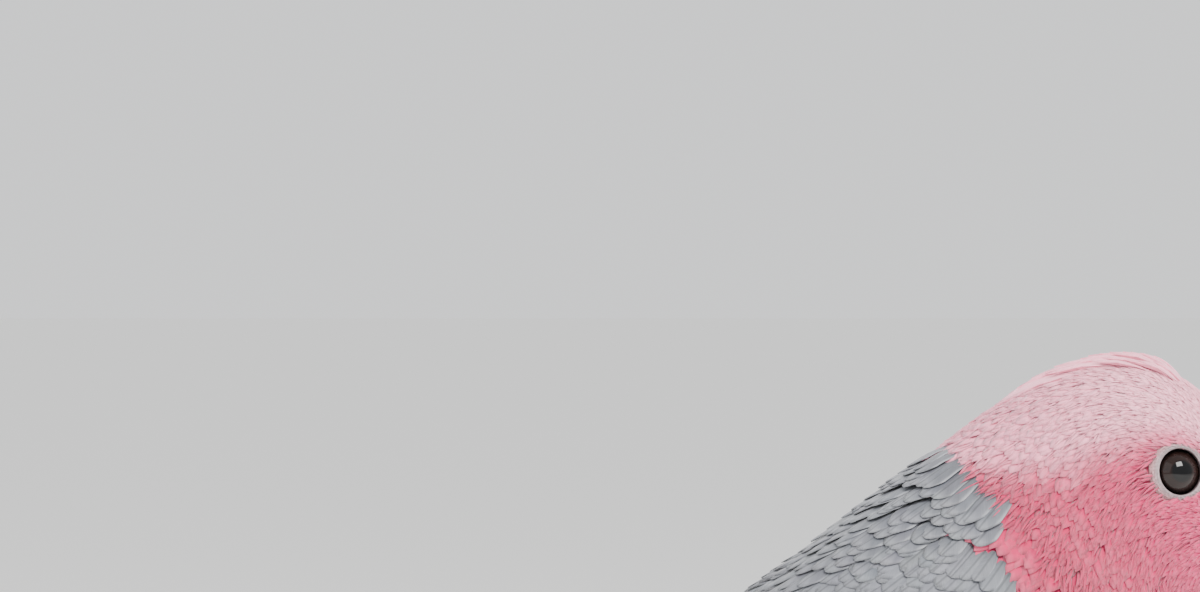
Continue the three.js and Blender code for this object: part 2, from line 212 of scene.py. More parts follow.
def in_frame(points):
    """Millimetres of the bird as metres of the frame."""
    return (np.asarray(points) + SHIFT) / 1000


# ---- Surfaces that carry feathers ----
# Each gives points in millimetres at (t, a): t runs the way that the feathers lie.


def coat_at(t, a, grow=0.0):
    """The outside of the plumage of head, neck and trunk; t counts sections."""
    return on_section(along(COAT, t), a, grow)


def carrier_at(v, angle, grow=0.0):
    """What the folded wing lies on; v is a share of its length."""
    return on_section(along(CARRIER, np.asarray(v) * CARRIER_STEPS), angle, grow)


def wing_opening(t):
    """How far the wing's arm has widened behind its front end."""
    return np.clip(t / WING_ANGLE["opening"], 0.02, 1)


def wing_spread(t):
    """Half the angle that the wing's arm takes up on the body, in degrees."""
    opening = wing_opening(t)
    return WING_ANGLE["least"] + WING_ANGLE["more"] * np.sqrt(opening * (2 - opening))


def wing_middle(t):
    return WING_ANGLE["middle"] + WING_ANGLE["fall"] * t


def across_wing(t, a):
    """From -1 at the upper edge of the wing's arm to 1 at the lower one."""
    return (np.degrees(a) - wing_middle(t)) / wing_spread(t)


def on_arm(t, across):
    """The angle on the body of a place across the wing's arm."""
    return np.radians(wing_middle(t) + wing_spread(t) * across)


def arm_face(t, a, rise, grow):
    """The outer face of the left wing's arm; rise is 0 at its edges and 1 at the middle."""
    thick = WING["depth"] - 1 - WING["thinning"] * t
    height = 1 + thick * rise**0.7 * (0.4 + 0.6 * wing_opening(t))
    point, normal, _, _ = frames(carrier_at, WING["start"] + WING["length"] * t, a)
    return point + normal * (height + grow)[..., None]


def arm_at(t, turn, grow=0.0):
    """That face by a turn from its upper edge, 0, to its lower one, pi."""
    return arm_face(t, on_arm(t, np.cos(turn)), np.abs(np.sin(turn)), grow)


def wing_at(t, a, grow=0.0):
    """The same face by the angle on the body, so that what lies along it points back."""
    return arm_face(t, a, np.sqrt(np.clip(1 - across_wing(t, a) ** 2, 0, 1)), grow)


def under_scapulars(t):
    """The share of the carrier's length below a share of the scapulars'."""
    return 0.02 + 0.46 * t


def scapular_at(t, a, grow=0.0):
    """A cap over the upper edge of the left wing, where the back's feathers cover it."""
    height = 3.6 * np.sin(np.pi * np.clip(t, 0.05, 0.95)) ** 0.5
    full = np.maximum(smooth_step(0.1, 0.6, a), smooth_step(0.4, 0.62, t))
    return carrier_at(under_scapulars(t), a, height * (0.5 + 0.5 * full) + grow)


def crest_at(t, roll, grow=0.0):
    """The outside of the flat crest; t is a share of its length."""
    rows = along(CREST, np.asarray(t) * (len(CREST) - 1))
    height = rows[:, 1] - CREST_AXIS + grow - 3.2 * smooth_step(0.4, 1.0, t)
    return np.stack([rows[:, 0], -height * np.sin(roll), CREST_AXIS + height * np.cos(roll)], -1)


def leg_plan(side):
    """The place of a foot and of its ankle."""
    x = FOOT["x"] + side * FOOT["stagger"]
    return x, side * FOOT["y"], x - 15


def limb_at(rows, t, angle, grow=0.0):
    """A tapered limb along rows of x, y, z, half height and half width; t is a share."""
    last = len(rows) - 1
    t = np.asarray(t, float)
    place = along(rows, t * last)
    ahead = unit(along(rows, (t + 0.02) * last)[:, :3] - along(rows, (t - 0.02) * last)[:, :3])
    sideways = unit(np.cross([0, 0, 1], ahead))
    up = np.cross(ahead, sideways)
    tall = (np.cos(angle) * (place[:, 3] + grow))[:, None]
    wide = (np.sin(angle) * (place[:, 4] + grow))[:, None]
    return place[:, :3] + up * tall + sideways * wide


def post_at(rows, t, angle, grow=0.0):
    """A limb of level sections along rows of x, y, z and halves ahead and sideways."""
    place = along(rows, np.asarray(t, float) * (len(rows) - 1))
    ahead = np.cos(angle) * (place[:, 3] + grow)
    wide = np.sin(angle) * (place[:, 4] + grow)
    return place[:, :3] + np.stack([ahead, wide, 0 * wide], -1)


def thigh_rows(side):
    x, y, ankle = leg_plan(side)
    return np.array([
        [x + 4, y - side * 3, 86, 17, 13],
        [x + 2, y - side * 1, 64, 19, 15],
        [x - 4, y, 47, 15.5, 12.5],
        [ankle + 3.5, y, 35, 8.4, 7.4],
        [ankle + 1, y, 28, 5.2, 5],
        [ankle + 2.5, y, 22, 4.7, 4.6],
    ])


def frames(at, t, a):
    """Points, the outward normal, and mm for one of t and for one of a."""
    step = 0.004
    point = at(t, a)
    ahead = at(t + step, a) - at(t - step, a)
    around = at(t, a + step) - at(t, a - step)
    normal = unit(np.cross(ahead, around))
    outwards = at(t, a, 1.0) - point
    normal = normal * np.sign((normal * outwards).sum(-1, keepdims=True))
    speed, spin = (np.linalg.norm(way, axis=-1) / (2 * step) for way in (ahead, around))
    return point, normal, speed, spin


# ---- Making meshes ----
# A shape is its points, in mm, and groups of faces, each with whether it is smooth.


def fill(rows, name, values, kind=np.float32):
    """Sets a property of all of a mesh's points, corners or faces at once."""
    rows.foreach_set(name, np.asarray(values, kind).ravel())


def piece(name, shape, material=None, slot=None, nodes=(), colours=None, maps=None):
    """A mesh object. One with a slot is part of the bird and may stand for solids."""
    points, faces = shape
    counts, sides, smooth = zip(*[(*group.shape, is_smooth) for group, is_smooth in faces])
    corners = np.concatenate([group.ravel() for group, _ in faces])
    sides = np.repeat(sides, counts)
    mesh = bpy.data.meshes.new(name)
    mesh.vertices.add(len(points))
    fill(mesh.vertices, "co", in_frame(points))
    mesh.loops.add(len(corners))
    fill(mesh.loops, "vertex_index", corners, np.int32)
    mesh.polygons.add(len(sides))
    fill(mesh.polygons, "loop_start", np.cumsum(sides) - sides, np.int32)
    mesh.update(calc_edges=True)
    fill(mesh.polygons, "use_smooth", np.repeat(smooth, counts), bool)
    if colours is not None:
        layer = mesh.color_attributes.new("Markings", "FLOAT_COLOR", "POINT")
        fill(layer.data, "color", np.insert(np.clip(colours, 0, 1), 3, 1, axis=1))
    for map_name, places in (maps or {}).items():
        fill(mesh.uv_layers.new(name=map_name).data, "uv", places[corners])
    if material is not None:
        mesh.materials.append(material)
    made = bpy.data.objects.new(name, mesh)
    bpy.context.collection.objects.link(made)
    if slot is not None:
        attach(made, "root")
    if nodes:
        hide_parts(*nodes)
    return made


def grid_faces(rows, columns, closed):
    """Quads between the rows of a grid of points, and round it where it is closed."""
    steps = columns if closed else columns - 1
    i, j = pairs_of(np.arange(rows - 1), np.arange(steps))
    k = (j + 1) % columns
    corners = [i * columns + j, (i + 1) * columns + j, (i + 1) * columns + k, i * columns + k]
    return np.stack(corners, -1)


def round_grid(rings, around):
    """The shares and the angles of a closed form's rings."""
    return pairs_of(np.linspace(0, 1, rings), np.arange(around) * 2 * np.pi / around)


def loft(place, rings, around):
    """A closed shape: rings of points at place(t, angle), and fans over both ends."""
    grid = place(*round_grid(rings, around)).reshape(rings, around, 3)
    points = np.vstack([grid.reshape(-1, 3), grid[0].mean(0), grid[-1].mean(0)])
    quads = grid_faces(rings, around, closed=True)
    j = np.arange(around)
    k = (j + 1) % around
    last = (rings - 1) * around
    first_end = np.stack([np.full(around, rings * around), j, k], -1)
    last_end = np.stack([np.full(around, rings * around + 1), last + k, last + j], -1)
    triangles = np.vstack([first_end, last_end])
    middle = points.mean(0)
    a, b, c = (points[quads[:, i]] - middle for i in (0, 1, 2))
    turn = -1 if (np.cross(a, b) * c).sum() < 0 else 1
    return points, [(quads[:, ::turn], True), (triangles[:, ::turn], True)]


def mirrored(shape, side):
    """A shape of the left side as it is, or its mirror image on the right."""
    points, faces = shape
    return points * [1, side, 1], [(group[:, ::side], smooth) for group, smooth in faces]


def put_together(shapes):
    """Several shapes as one."""
    starts = np.cumsum([0] + [len(points) for points, _ in shapes])
    faces = []
    for (_, groups), start in zip(shapes, starts):
        faces += [(group + start, smooth) for group, smooth in groups]
    return np.vstack([points for points, _ in shapes]), faces


def horn(name, place, rings, around, material, slot, node, long, wide):
    """A piece of horn, which knows how its grain runs: mm along it, and round it."""
    points, faces = loft(place, rings, around)
    points[:, 2] = np.maximum(points[:, 2], 0)
    made = piece(name, (points, faces), material, slot, [node])
    t, angle = round_grid(rings, around)
    lie = np.stack([t * long, wide * np.cos(angle), wide * np.sin(angle)], -1)
    lie = np.vstack([lie, [0, 0, 0], [long, 0, 0]])
    fill(made.data.attributes.new("Grain", "FLOAT_VECTOR", "POINT").data, "vector", lie)


def remeshed(shapes, voxel, smoothing):
    """One closed, smooth mesh round overlapping shapes, as points in mm and quads."""
    rough = piece("rough", put_together(shapes))
    melt = rough.modifiers.new("melt", "REMESH")
    melt.mode = "VOXEL"
    melt.voxel_size = voxel / 1000
    soften = rough.modifiers.new("soften", "SMOOTH")
    soften.factor = 0.5
    soften.iterations = smoothing
    ready = rough.evaluated_get(bpy.context.evaluated_depsgraph_get())
    mesh = bpy.data.meshes.new_from_object(ready)
    bpy.data.objects.remove(rough)
    points = np.empty(len(mesh.vertices) * 3, np.float32)
    mesh.vertices.foreach_get("co", points)
    corners = np.empty(len(mesh.loops), np.int32)
    mesh.loops.foreach_get("vertex_index", corners)
    bpy.data.meshes.remove(mesh)
    return points.reshape(-1, 3) * 1000 - SHIFT, corners.reshape(-1, 4)


# ---- Feathers: where they grow and how they lie ----

# Rows stand a little closer than the feathers in a row, and both are uneven by shares of
# that gap. A feather's middle line has levels. It is widest from 0.7 of its length on, its
# barbs slant by mm along for one across, and its patch for baking is tiny.
ROW_GAP = 0.87
UNEVEN_ALONG = 0.22
UNEVEN_ACROSS = 0.2
LEVELS = 9
WIDENING = 2.2
BARB_SLANT = 1.2
BAKE_PATCH = (0.0015, 0.003)


def roots(at, t_range, a_range, spacing, rng):
    """Places (t, a) of feathers in uneven rows over a surface, spacing(t) mm apart."""
    turns = np.linspace(*a_range, 97)
    places = []
    t = t_range[0]
    while t < t_range[1]:
        _, _, speed, spin = frames(at, np.full(len(turns), t), turns)
        gap = spacing(t)
        arc = np.concatenate([[0], np.cumsum(spin[1:] + spin[:-1]) / 2]) * (turns[1] - turns[0])
        count = max(int(arc[-1] / gap), 1)
        run = (np.arange(count) + rng.uniform()) / count * arc[-1]
        a = np.interp((run + rng.normal(0, gap * UNEVEN_ACROSS, count)) % arc[-1], arc, turns)
        here = np.interp(a, turns, speed)
        kept = rng.uniform(size=count) < here / speed.max() * 1.05
        row = np.stack([t + rng.normal(0, UNEVEN_ALONG, count) * gap / here, a], -1)
        places.append(row[kept])
        t += ROW_GAP * gap / speed.max()
    return np.vstack(places).T


def lay(at, t, a, length, turn, depth, lift=0.0, levels=LEVELS):
    """Middle lines of feathers over a surface: points, across and normal, each [n, levels, 3].

    A root lies depth below the surface, and its feather rises until it lies flat, lift
    above it. The turn, in radians, leads it off to one side.
    """
    points, normals = [], []
    for share in np.linspace(0, 1, levels):
        point, normal, speed, spin = frames(at, t, a)
        rise = 1 - (1 - share) ** 1.6
        height = np.broadcast_to(lift * rise - depth * (1 - rise), t.shape)
        points.append(point + normal * height[:, None])
        normals.append(normal)
        step = length / (levels - 1)
        t = t + step * np.cos(turn) / speed
        a = a + step * np.sin(turn) / np.maximum(spin, 2.0)
    return lines(np.stack(points, 1), np.stack(normals, 1))


def lines(points, normals):
    """Middle lines from their points and the ways up."""
    ahead = unit(np.gradient(points, axis=1))
    across = unit(np.cross(normals, ahead))
    return points, across, np.cross(ahead, across)


def rolled(line, roll):
    """Middle lines of feathers rolled about their length by an angle each."""
    points, across, normal = line
    roll = np.broadcast_to(roll, len(points))[:, None, None]
    cos, sin = np.cos(roll), np.sin(roll)
    return points, across * cos + normal * sin, normal * cos - across * sin


def stretched(line, shares):
    """Middle lines' points, across and normal at shares of their length."""
    count, levels = line[0].shape[:2]
    place = np.clip(shares, 0, 1) * (levels - 1)
    low = np.minimum(place.astype(int), levels - 2)
    part = (place - low)[..., None]
    each = np.arange(count).reshape(-1, *[1] * (shares.ndim - 1))
    return [field[each, low] * (1 - part) + field[each, low + 1] * part for field in line]


class Vanes:
    """Many feathers of one make: a grid of points above, a middle line of points below.

    The columns of the grid end at different shares of the length, which rounds the tip,
    and every second one ends sooner, which frays it into barbs.
    """

    def __init__(self, line, length, half_width, look, rng):
        rows, columns = look["rows"], look["columns"]
        self.count, self.rows, self.columns = len(length), rows, columns
        middle = columns // 2
        x = np.sin(np.linspace(-np.pi / 2, np.pi / 2, columns))
        ragged = rng.uniform(0, look["ragged"], (self.count, columns))
        between = (np.arange(columns) - middle) % 2
        ragged = ragged + between * look.get("fray", 0.0) * rng.uniform(0.5, 1, ragged.shape)
        end = 1 - look["round"] * np.abs(x) ** look["blunt"] - ragged
        share = np.linspace(0, 1, rows) ** look.get("crowd", 1.0)
        self.along = share[None, :, None] * end[:, None, :]
        self.x = np.broadcast_to(x, self.along.shape)
        widened = np.sin(np.minimum(self.along * WIDENING, np.pi / 2))
        wide = look["root"] + (1 - look["root"]) * widened
        lean = 1 + look.get("lean", 0.0) * np.sign(self.x)
        half = half_width[:, None, None]
        self.sideways = self.x * lean * wide * half
        self.above = look.get("ridge", 0.0) * (self.x == 0) - look["camber"] * self.x**2 * half
        self.sunk = np.full((self.count, rows), -look["thick"])
        point, across, normal = stretched(line, self.along)
        self.top = point + across * self.sideways[..., None] + normal * self.above[..., None]
        self.shaft = self.along[:, :, middle]
        under, _, way_up = stretched(line, self.shaft)
        self.under = under + way_up * self.sunk[..., None]
        self.millimetres = self.along * length[:, None, None]
        self.start = rng.uniform(0, 50, (self.count, 1, 1))

    def shape(self):
        """The smooth grid, and the flat faces that close it below."""
        rows, columns = self.rows, self.columns
        top = np.arange(rows * columns).reshape(rows, columns)
        under = rows * columns + np.arange(rows)
        left = np.stack([top[:-1, 0], under[:-1], under[1:], top[1:, 0]], -1)
        right = np.stack([under[:-1], top[:-1, -1], top[1:, -1], under[1:]], -1)
        root = np.stack([top[0, :-1], top[0, 1:], np.full(columns - 1, under[0])], -1)
        tip = np.stack([top[-1, 1:], top[-1, :-1], np.full(columns - 1, under[-1])], -1)
        starts = (np.arange(self.count) * (rows * columns + rows))[:, None, None]
        sides, ends = np.vstack([left, right]), np.vstack([root, tip])
        groups = ((grid_faces(rows, columns, closed=False), True), (sides, False), (ends, False))
        faces = [((group + starts).reshape(-1, group.shape[1]), smooth) for group, smooth in groups]
        return self.each_point(self.top, self.under), faces

    def each_point(self, top, below=None):
        """Values of the grid's points and of those below, or there the middle column's."""
        below = top[:, :, self.columns // 2] if below is None else below
        every = np.concatenate([top.reshape(self.count, -1, top.shape[-1]), below], 1)
        return every.reshape(-1, top.shape[-1])

    def barbs(self):
        """Millimetres along the shaft of each barb's root, and across the vane."""
        along_shaft = self.millimetres - BARB_SLANT * np.abs(self.sideways) + self.start
        return self.each_point(np.stack([along_shaft, self.sideways], -1))

    def bake(self, places):
        """A small patch for each feather at its root's place on the skin's unwrap."""
        patch = np.stack([self.x, self.along], -1) * BAKE_PATCH
        return self.each_point(patch + places[:, None, None, :])


def feathers(name, batches, material, slot, nodes=(), side=1):
    """One piece of many feathers. A batch has vanes, colours of the grid, bake places."""
    shape = mirrored(put_together([vanes.shape() for vanes, _, _ in batches]), side)
    colours = np.vstack([vanes.each_point(colour) for vanes, colour, _ in batches])
    maps = {
        "OFBake": np.vstack([vanes.bake(places) for vanes, _, places in batches]),
        "Barbs": np.vstack([vanes.barbs() for vanes, _, _ in batches]),
    }
    piece(name, shape, material, slot, nodes, colours, maps)


def shaded(vanes, colours, fringe, deep=0.7, edge_from=0.6):
    """Colours of the grid: darker at the root with painted shade, and of another colour at the
    fringe.
    """
    edge = np.maximum(
        smooth_step(edge_from, 1, np.abs(vanes.x)), smooth_step(edge_from + 0.1, 1, vanes.along)
    )
    colour = mix(colours[:, None, None, :], fringe[:, None, None, :], edge)
    # Painted shade: towards the root the colour falls to the share deep, for the shade under the
    # feathers that lie over it.
    return colour * (deep + (1 - deep) * smooth_step(0, 0.55, vanes.along))[..., None]


def grown(at, t, a, length, turn, depth, lift, roll, half_width, look, rng, levels=LEVELS):
    """Vanes that lie over a surface, each rolled a little about its length."""
    line = rolled(lay(at, t, a, length, turn, depth, lift, levels), roll)
    return Vanes(line, length, half_width, look, rng)


def uneven(colours, rng, spread=0.05, count=None):
    """Colours, or one for a count, with each feather's own lightness and warmth."""
    colours = np.tile(colours, (count or 1, 1))
    light = 1 + rng.normal(0, spread, (len(colours), 1))
    return colours * light * (1 + rng.normal(0, spread * 0.3, colours.shape))


# ---- Markings: the same for the skin and for the coat over it ----

WHITE = np.ones(3)
CAP_PINK = linear(240, 164, 184)
NAPE_PINK = linear(232, 142, 166)
FACE_ROSE = linear(202, 46, 100)
BREAST_ROSE = linear(184, 26, 80)
BELLY_ROSE = linear(192, 40, 92)
MANTLE_GREY = linear(90, 92, 99)
COVERT_GREY = linear(106, 108, 115)
FRINGE_GREY = linear(164, 166, 171)
SECONDARY_GREY = linear(82, 84, 91)
PRIMARY_GREY = linear(50, 51, 57)
RUMP_GREY = linear(190, 191, 195)
VENT_GREY = linear(152, 153, 159)
TAIL_GREY = linear(74, 76, 83)
TAIL_TIP = linear(42, 43, 49)


def body_marking(t, a):
    """Colours of head, neck and trunk; a is the angle from the top line."""
    away = np.degrees(from_top(a))
    cap_edge = np.interp(t, [0, 0.6, 1.2, 2, 3, 4, 4.8, 5.4], [30, 52, 66, 64, 68, 62, 40, 0])
    grey_edge = np.interp(t, [4.95, 5.4, 6.1, 7, 8, 9.5], [-20, 44, 68, 84, 92, 100])
    return layered(
        FACE_ROSE,
        (BREAST_ROSE, smooth_step(1.5, 4.5, t)),
        (BELLY_ROSE, smooth_step(6.5, 9, t)),
        (mix(CAP_PINK, NAPE_PINK, smooth_step(2.2, 4.6, t)), smooth_step(14, -10, away - cap_edge)),
        (MANTLE_GREY, smooth_step(10, -10, away - grey_edge)),
        (RUMP_GREY, smooth_step(7.8, 8.6, t) * smooth_step(95, 70, away)),
        (VENT_GREY, smooth_step(9.0, 10.0, t) * smooth_step(70, 95, away)),
        (MANTLE_GREY, smooth_step(11, 12.5, t) * 0.7),
    )


def thigh_marking(t):
    return mix(BELLY_ROSE, VENT_GREY, smooth_step(0.35, 0.9, t))


def arm_marking(t):
    return mix(COVERT_GREY, MANTLE_GREY, smooth_step(0.2, 0.9, t))


def on_body_map(t, a):
    """Places on the body's part of the skin's unwrap."""
    return np.stack([0.5 + wrapped(a) / (2 * np.pi) * 0.96, 0.02 + 0.56 * t / 13], -1)


def on_side_map(share, t, side, low, high):
    """Places on a side's half of the unwrap, between two heights."""
    left = 0.02 if side > 0 else 0.52
    up = low + (high - low) * np.clip(t, 0, 1)
    return np.stack(np.broadcast_arrays(left + 0.46 * share, up), -1)


def on_wing_map(t, turn, side):
    return on_side_map(np.clip(turn / np.pi, 0, 1), t, side, 0.62, 0.86)


def on_thigh_map(t, a, side):
    return on_side_map(a / (2 * np.pi) % 1, t, side, 0.88, 0.98)


# ---- Materials ----


class Nodes:
    """A material, with short ways to add nodes to it and to link them."""

    def __init__(self, name, roughness, **sockets):
        self.material = bpy.data.materials.new(name)
        self.material.use_nodes = True
        self.tree = self.material.node_tree
        self.shader = self.tree.nodes["Principled BSDF"]
        self.shader.inputs["Roughness"].default_value = roughness
        for socket, value in sockets.items():
            self.shader.inputs[socket.replace("_", " ")].default_value = value

    def feed(self, socket, value):
        if isinstance(value, bpy.types.NodeSocket):
            self.tree.links.new(value, socket)
        else:
            socket.default_value = value

    def out(self, kind, inputs=None, output=0, **settings):
        """An output of a new node, with its inputs by name or place, and its settings."""
        node = self.tree.nodes.new("ShaderNode" + kind)
        for key, value in settings.items():
            setattr(node, key, value)
        for key, value in (inputs or {}).items():
            self.feed(node.inputs[key], value)
        return node.outputs[output]

    def math(self, operation, first, second=0.0):
        return self.out("Math", {0: first, 1: second}, operation=operation)

    def times(self, vector, factors):
        return self.out("VectorMath", {0: vector, 1: factors}, operation="MULTIPLY")

    def noise(self, vector, scale, detail=3.0, roughness=0.55):
        inputs = {"Vector": vector, "Scale": scale, "Detail": detail, "Roughness": roughness}
        return self.out("TexNoise", inputs, "Fac")

    def cells(self, scale, feature="F1"):
        """How far a point is from the middle or the edge of its small cell."""
        inputs = {"Vector": self.place(), "Scale": scale}
        return self.out("TexVoronoi", inputs, "Distance", feature=feature)

    def spread(self, value, low, high, to_low, to_high):
        return self.out("MapRange", dict(enumerate((value, low, high, to_low, to_high))))

    def place(self):
        return self.out("TexCoord", output="Object")

    def grain(self):
        """Where a point is along the grain of its piece, in mm, and round it."""
        return self.out("Attribute", output="Vector", attribute_name="Grain")

    def uv(self, name):
        return self.out("UVMap", uv_map=name)

    def part(self, vector, index):
        return self.out("SeparateXYZ", {0: vector}, index)

    def blend(self, kind, factor, *colours):
        """A mix of two colours, which are sockets or colours of linear light."""
        inputs = {0: factor}
        for place, value in zip((6, 7), colours):
            inputs[place] = value if isinstance(value, bpy.types.NodeSocket) else (*value, 1.0)
        return self.out("Mix", inputs, 2, data_type="RGBA", blend_type=kind)

    def veil(self, value, low, high, most, under, over):
        """One colour laid over another, up to a share, as a value rises from low to high."""
        return self.blend("MIX", self.spread(value, low, high, 0.0, most), under, over)

    def bump(self, height, strength, distance):
        inputs = {"Strength": strength, "Distance": distance, "Height": height}
        self.feed(self.shader.inputs["Normal"], self.out("Bump", inputs))

    def colour(self, value):
        self.feed(self.shader.inputs["Base Color"], value)
        return self.material

    def tinted(self, light):
        """The material, coloured by its piece's markings and by a socket's lightness."""
        markings = self.out("VertexColor", layer_name="Markings")
        grey = self.out("CombineColor", {"Red": light, "Green": light, "Blue": light})
        return self.colour(self.blend("MULTIPLY", 1.0, markings, grey))


def feather_material(name, streaks, shaft, roughness, sheen):
    """Barbs run out from the shaft as fine streaks of light, dark and height."""
    sheens = {"Sheen_Weight": sheen, "Sheen_Roughness": 0.45}
    nodes = Nodes(name, roughness, Specular_IOR_Level=0.3, **sheens)
    barbs = nodes.uv("Barbs")
    fine = nodes.noise(nodes.times(barbs, (3.2, 0.35, 0)), 1.0, 2.0)
    broad = nodes.noise(nodes.times(barbs, (0.55, 0.2, 0)), 1.0, 2.0)
    light = nodes.spread(fine, 0.25, 0.75, 1 - streaks, 1 + streaks * 0.7)
    light = nodes.math("MULTIPLY", light, nodes.spread(broad, 0.3, 0.7, 0.92, 1.06))
    if shaft:
        from_shaft = nodes.math("ABSOLUTE", nodes.part(barbs, 1))
        light = nodes.math("MULTIPLY", light, nodes.spread(from_shaft, 0.1, 0.34, shaft, 1.0))
    nodes.bump(fine, 0.35, 0.0002)
    return nodes.tinted(light)


def skin_material():
    """Thin skin, pimpled where feathers grow, seen only between them."""
    nodes = Nodes("skin", 0.7)
    nodes.bump(nodes.cells(520.0), 0.4, 0.0003)
    return nodes.tinted(nodes.spread(nodes.noise(nodes.place(), 90.0), 0.3, 0.7, 0.55, 0.8))


def foot_material():
    """Grey skin in small rough scales, with broader plates across the toes and the shin."""
    nodes = Nodes("foot", 0.62)
    wavy = nodes.noise(nodes.place(), 260.0)
    scales = nodes.spread(nodes.cells(620.0, "DISTANCE_TO_EDGE"), 0.0, 0.16, 0.0, 1.0)
    reach = nodes.math("ADD", nodes.part(nodes.uv("Scales"), 0), nodes.math("MULTIPLY", wavy, 1.2))
    plate = nodes.math("FRACT", nodes.math("DIVIDE", reach, 1.7))
    from_middle = nodes.math("ABSOLUTE", nodes.math("SUBTRACT", plate, 0.5))
    ridge = nodes.spread(from_middle, 0.3, 0.5, 1.0, 0.0)
    relief = nodes.math("MULTIPLY", nodes.spread(scales, 0.0, 1.0, 0.45, 1.0), ridge)
    worn = nodes.veil(wavy, 0.3, 0.7, 1.0, linear(128, 121, 122), linear(158, 151, 150))
    nodes.bump(relief, 0.75, 0.0004)
    return nodes.colour(nodes.blend("MIX", relief, linear(88, 81, 84), worn))


def bill_material():
    """Horn, bone-coloured: fine lengthwise fibres, flaking growth lines, worn chalky spots."""
    nodes = Nodes("bill", 0.34, Coat_Weight=0.2, Coat_Roughness=0.25)
    lie = nodes.grain()
    fibres = nodes.noise(nodes.times(lie, (0.12, 2.6, 2.6)), 1.0, 4.0)
    growth = nodes.noise(nodes.times(lie, (1.1, 0.22, 0.22)), 1.0, 4.0, 0.65)
    chalk = nodes.noise(nodes.place(), 160.0, 5.0)
    horn = nodes.veil(fibres, 0.3, 0.7, 0.7, linear(196, 182, 154), linear(172, 158, 130))
    horn = nodes.veil(growth, 0.5, 0.62, 0.3, horn, linear(206, 194, 168))
    horn = nodes.veil(chalk, 0.52, 0.7, 0.6, horn, linear(140, 126, 104))
    horn = nodes.veil(nodes.part(lie, 0), 18.0, 38.0, 0.55, horn, linear(128, 116, 98))
    nodes.bump(nodes.math("ADD", fibres, nodes.math("MULTIPLY", growth, 1.4)), 0.4, 0.00025)
    return nodes.colour(horn)


def cere_material():
    """Soft grey skin, finely grained."""
    nodes = Nodes("cere", 0.6)
    creases = nodes.noise(nodes.times(nodes.place(), (1.0, 1.0, 0.45)), 1500.0, 4.0, 0.7)
    pores = nodes.math("MULTIPLY", nodes.cells(2300.0), 0.7)
    nodes.bump(nodes.math("ADD", creases, pores), 0.8, 0.0004)
    return nodes.tinted(nodes.spread(creases, 0.35, 0.65, 0.72, 1.12))


def ring_material():
    """Bare crinkled skin round the eye, pale grey flushed with rose."""
    nodes = Nodes("eye_ring", 0.55)
    crinkles = nodes.noise(nodes.place(), 900.0, 4.0)
    nodes.bump(nodes.math("ADD", crinkles, nodes.cells(1300.0)), 0.6, 0.0002)
    return nodes.tinted(nodes.spread(crinkles, 0.3, 0.7, 0.8, 1.1))


def eye_material():
    """A wet dark eye: black pupil, deep brown iris with fine spokes, darker rim."""
    nodes = Nodes("eye", 0.05, Coat_Weight=0.1, Coat_Roughness=0.02, Specular_IOR_Level=0.24)
    spokes = nodes.noise(nodes.place(), 1600.0)
    return nodes.tinted(nodes.spread(spokes, 0.3, 0.7, 0.7, 1.3))


def claw_material():
    """Dark horn with lengthwise lines, paler where it is worn."""
    nodes = Nodes("claw", 0.38)
    streaks = nodes.noise(nodes.times(nodes.grain(), (0.2, 2.2, 2.2)), 1.0)
    worn = nodes.noise(nodes.place(), 250.0)
    horn = nodes.veil(streaks, 0.3, 0.7, 1.0, linear(46, 43, 44), linear(78, 72, 70))
    horn = nodes.veil(worn, 0.5, 0.75, 0.4, horn, linear(108, 100, 94))
    nodes.bump(streaks, 0.3, 0.0002)
    return nodes.colour(horn)


down = feather_material("plumage_rose", 0.1, 0.0, 0.72, 0.25)
webs = feather_material("plumage_grey", 0.12, 0.62, 0.58, 0.12)


# ---- Skin ----

# The coat's plan along the body: for each section, mm between feathers, their length,
# and how deep in the coat their roots are.
SPACING = np.array([1.0, 1.15, 1.35, 1.6, 2.0, 2.5, 2.95, 3.2, 3.3, 3.2, 3.0, 2.8])
LENGTH = np.array([4, 5, 6.5, 8.5, 11, 14, 17, 19, 20, 20, 20, 22])
DEPTH = np.array([1.2, 1.4, 1.6, 2, 2.8, 3.6, 4.2, 4.5, 4.5, 4.2, 3.6, 3])
# How deep the skin lies in the arm's and the thigh's coat, and how far it is sunk behind
# the eyes, all in mm. It is bare below the ankles.
ARM_DEPTH = 1.8
THIGH_DEPTH = 2.5
SOCKET_DEPTH = 2.2
SOCKET_EDGE = (6.8, 5.8)
BARE_BELOW = 29
SKIN_VOXEL = 0.94
SKIN_SOFTENING = 4


def plan(numbers, t):
    """A number of the coat's plan at a place along the body."""
    return np.interp(t, np.arange(len(numbers)), numbers)


def arm_ring(t, turn):
    """All round the left wing's arm: the outer face, then its inner side in the body."""
    outer = arm_at(t, turn, -ARM_DEPTH)
    sunk = arm_at(t, 2 * np.pi - turn, -10.0)
    return np.where((np.sin(turn) >= 0)[:, None], outer, sunk)


def heading(side, toe):
    """Which way a toe points, and how long it is."""
    degrees, length = TOES[toe]
    return np.cos(np.radians(degrees)), side * np.sin(np.radians(degrees)), length


def on_toe(side, toe, rows):
    """Rows of reach, height and halves, laid out from a foot along a toe."""
    x, y, _ = leg_plan(side)
    cos, sin, _ = heading(side, toe)
    return np.array([[x + reach * cos, y + reach * sin, *rest] for reach, *rest in rows])


def toe_rows(side, toe):
    """A toe from the foot out to its claw: x, y, z, half height, half width."""
    length, thick = TOES[toe][1], TOE_THICK
    return on_toe(side, toe, [
        (3, 4, thick, 0.95 * thick),
        (0.4 * length, 2.9, thick, thick),
        (0.72 * length, 2.2, 0.86 * thick, 0.9 * thick),
        (length, 1.9, 0.8 * thick, 0.8 * thick),
    ])


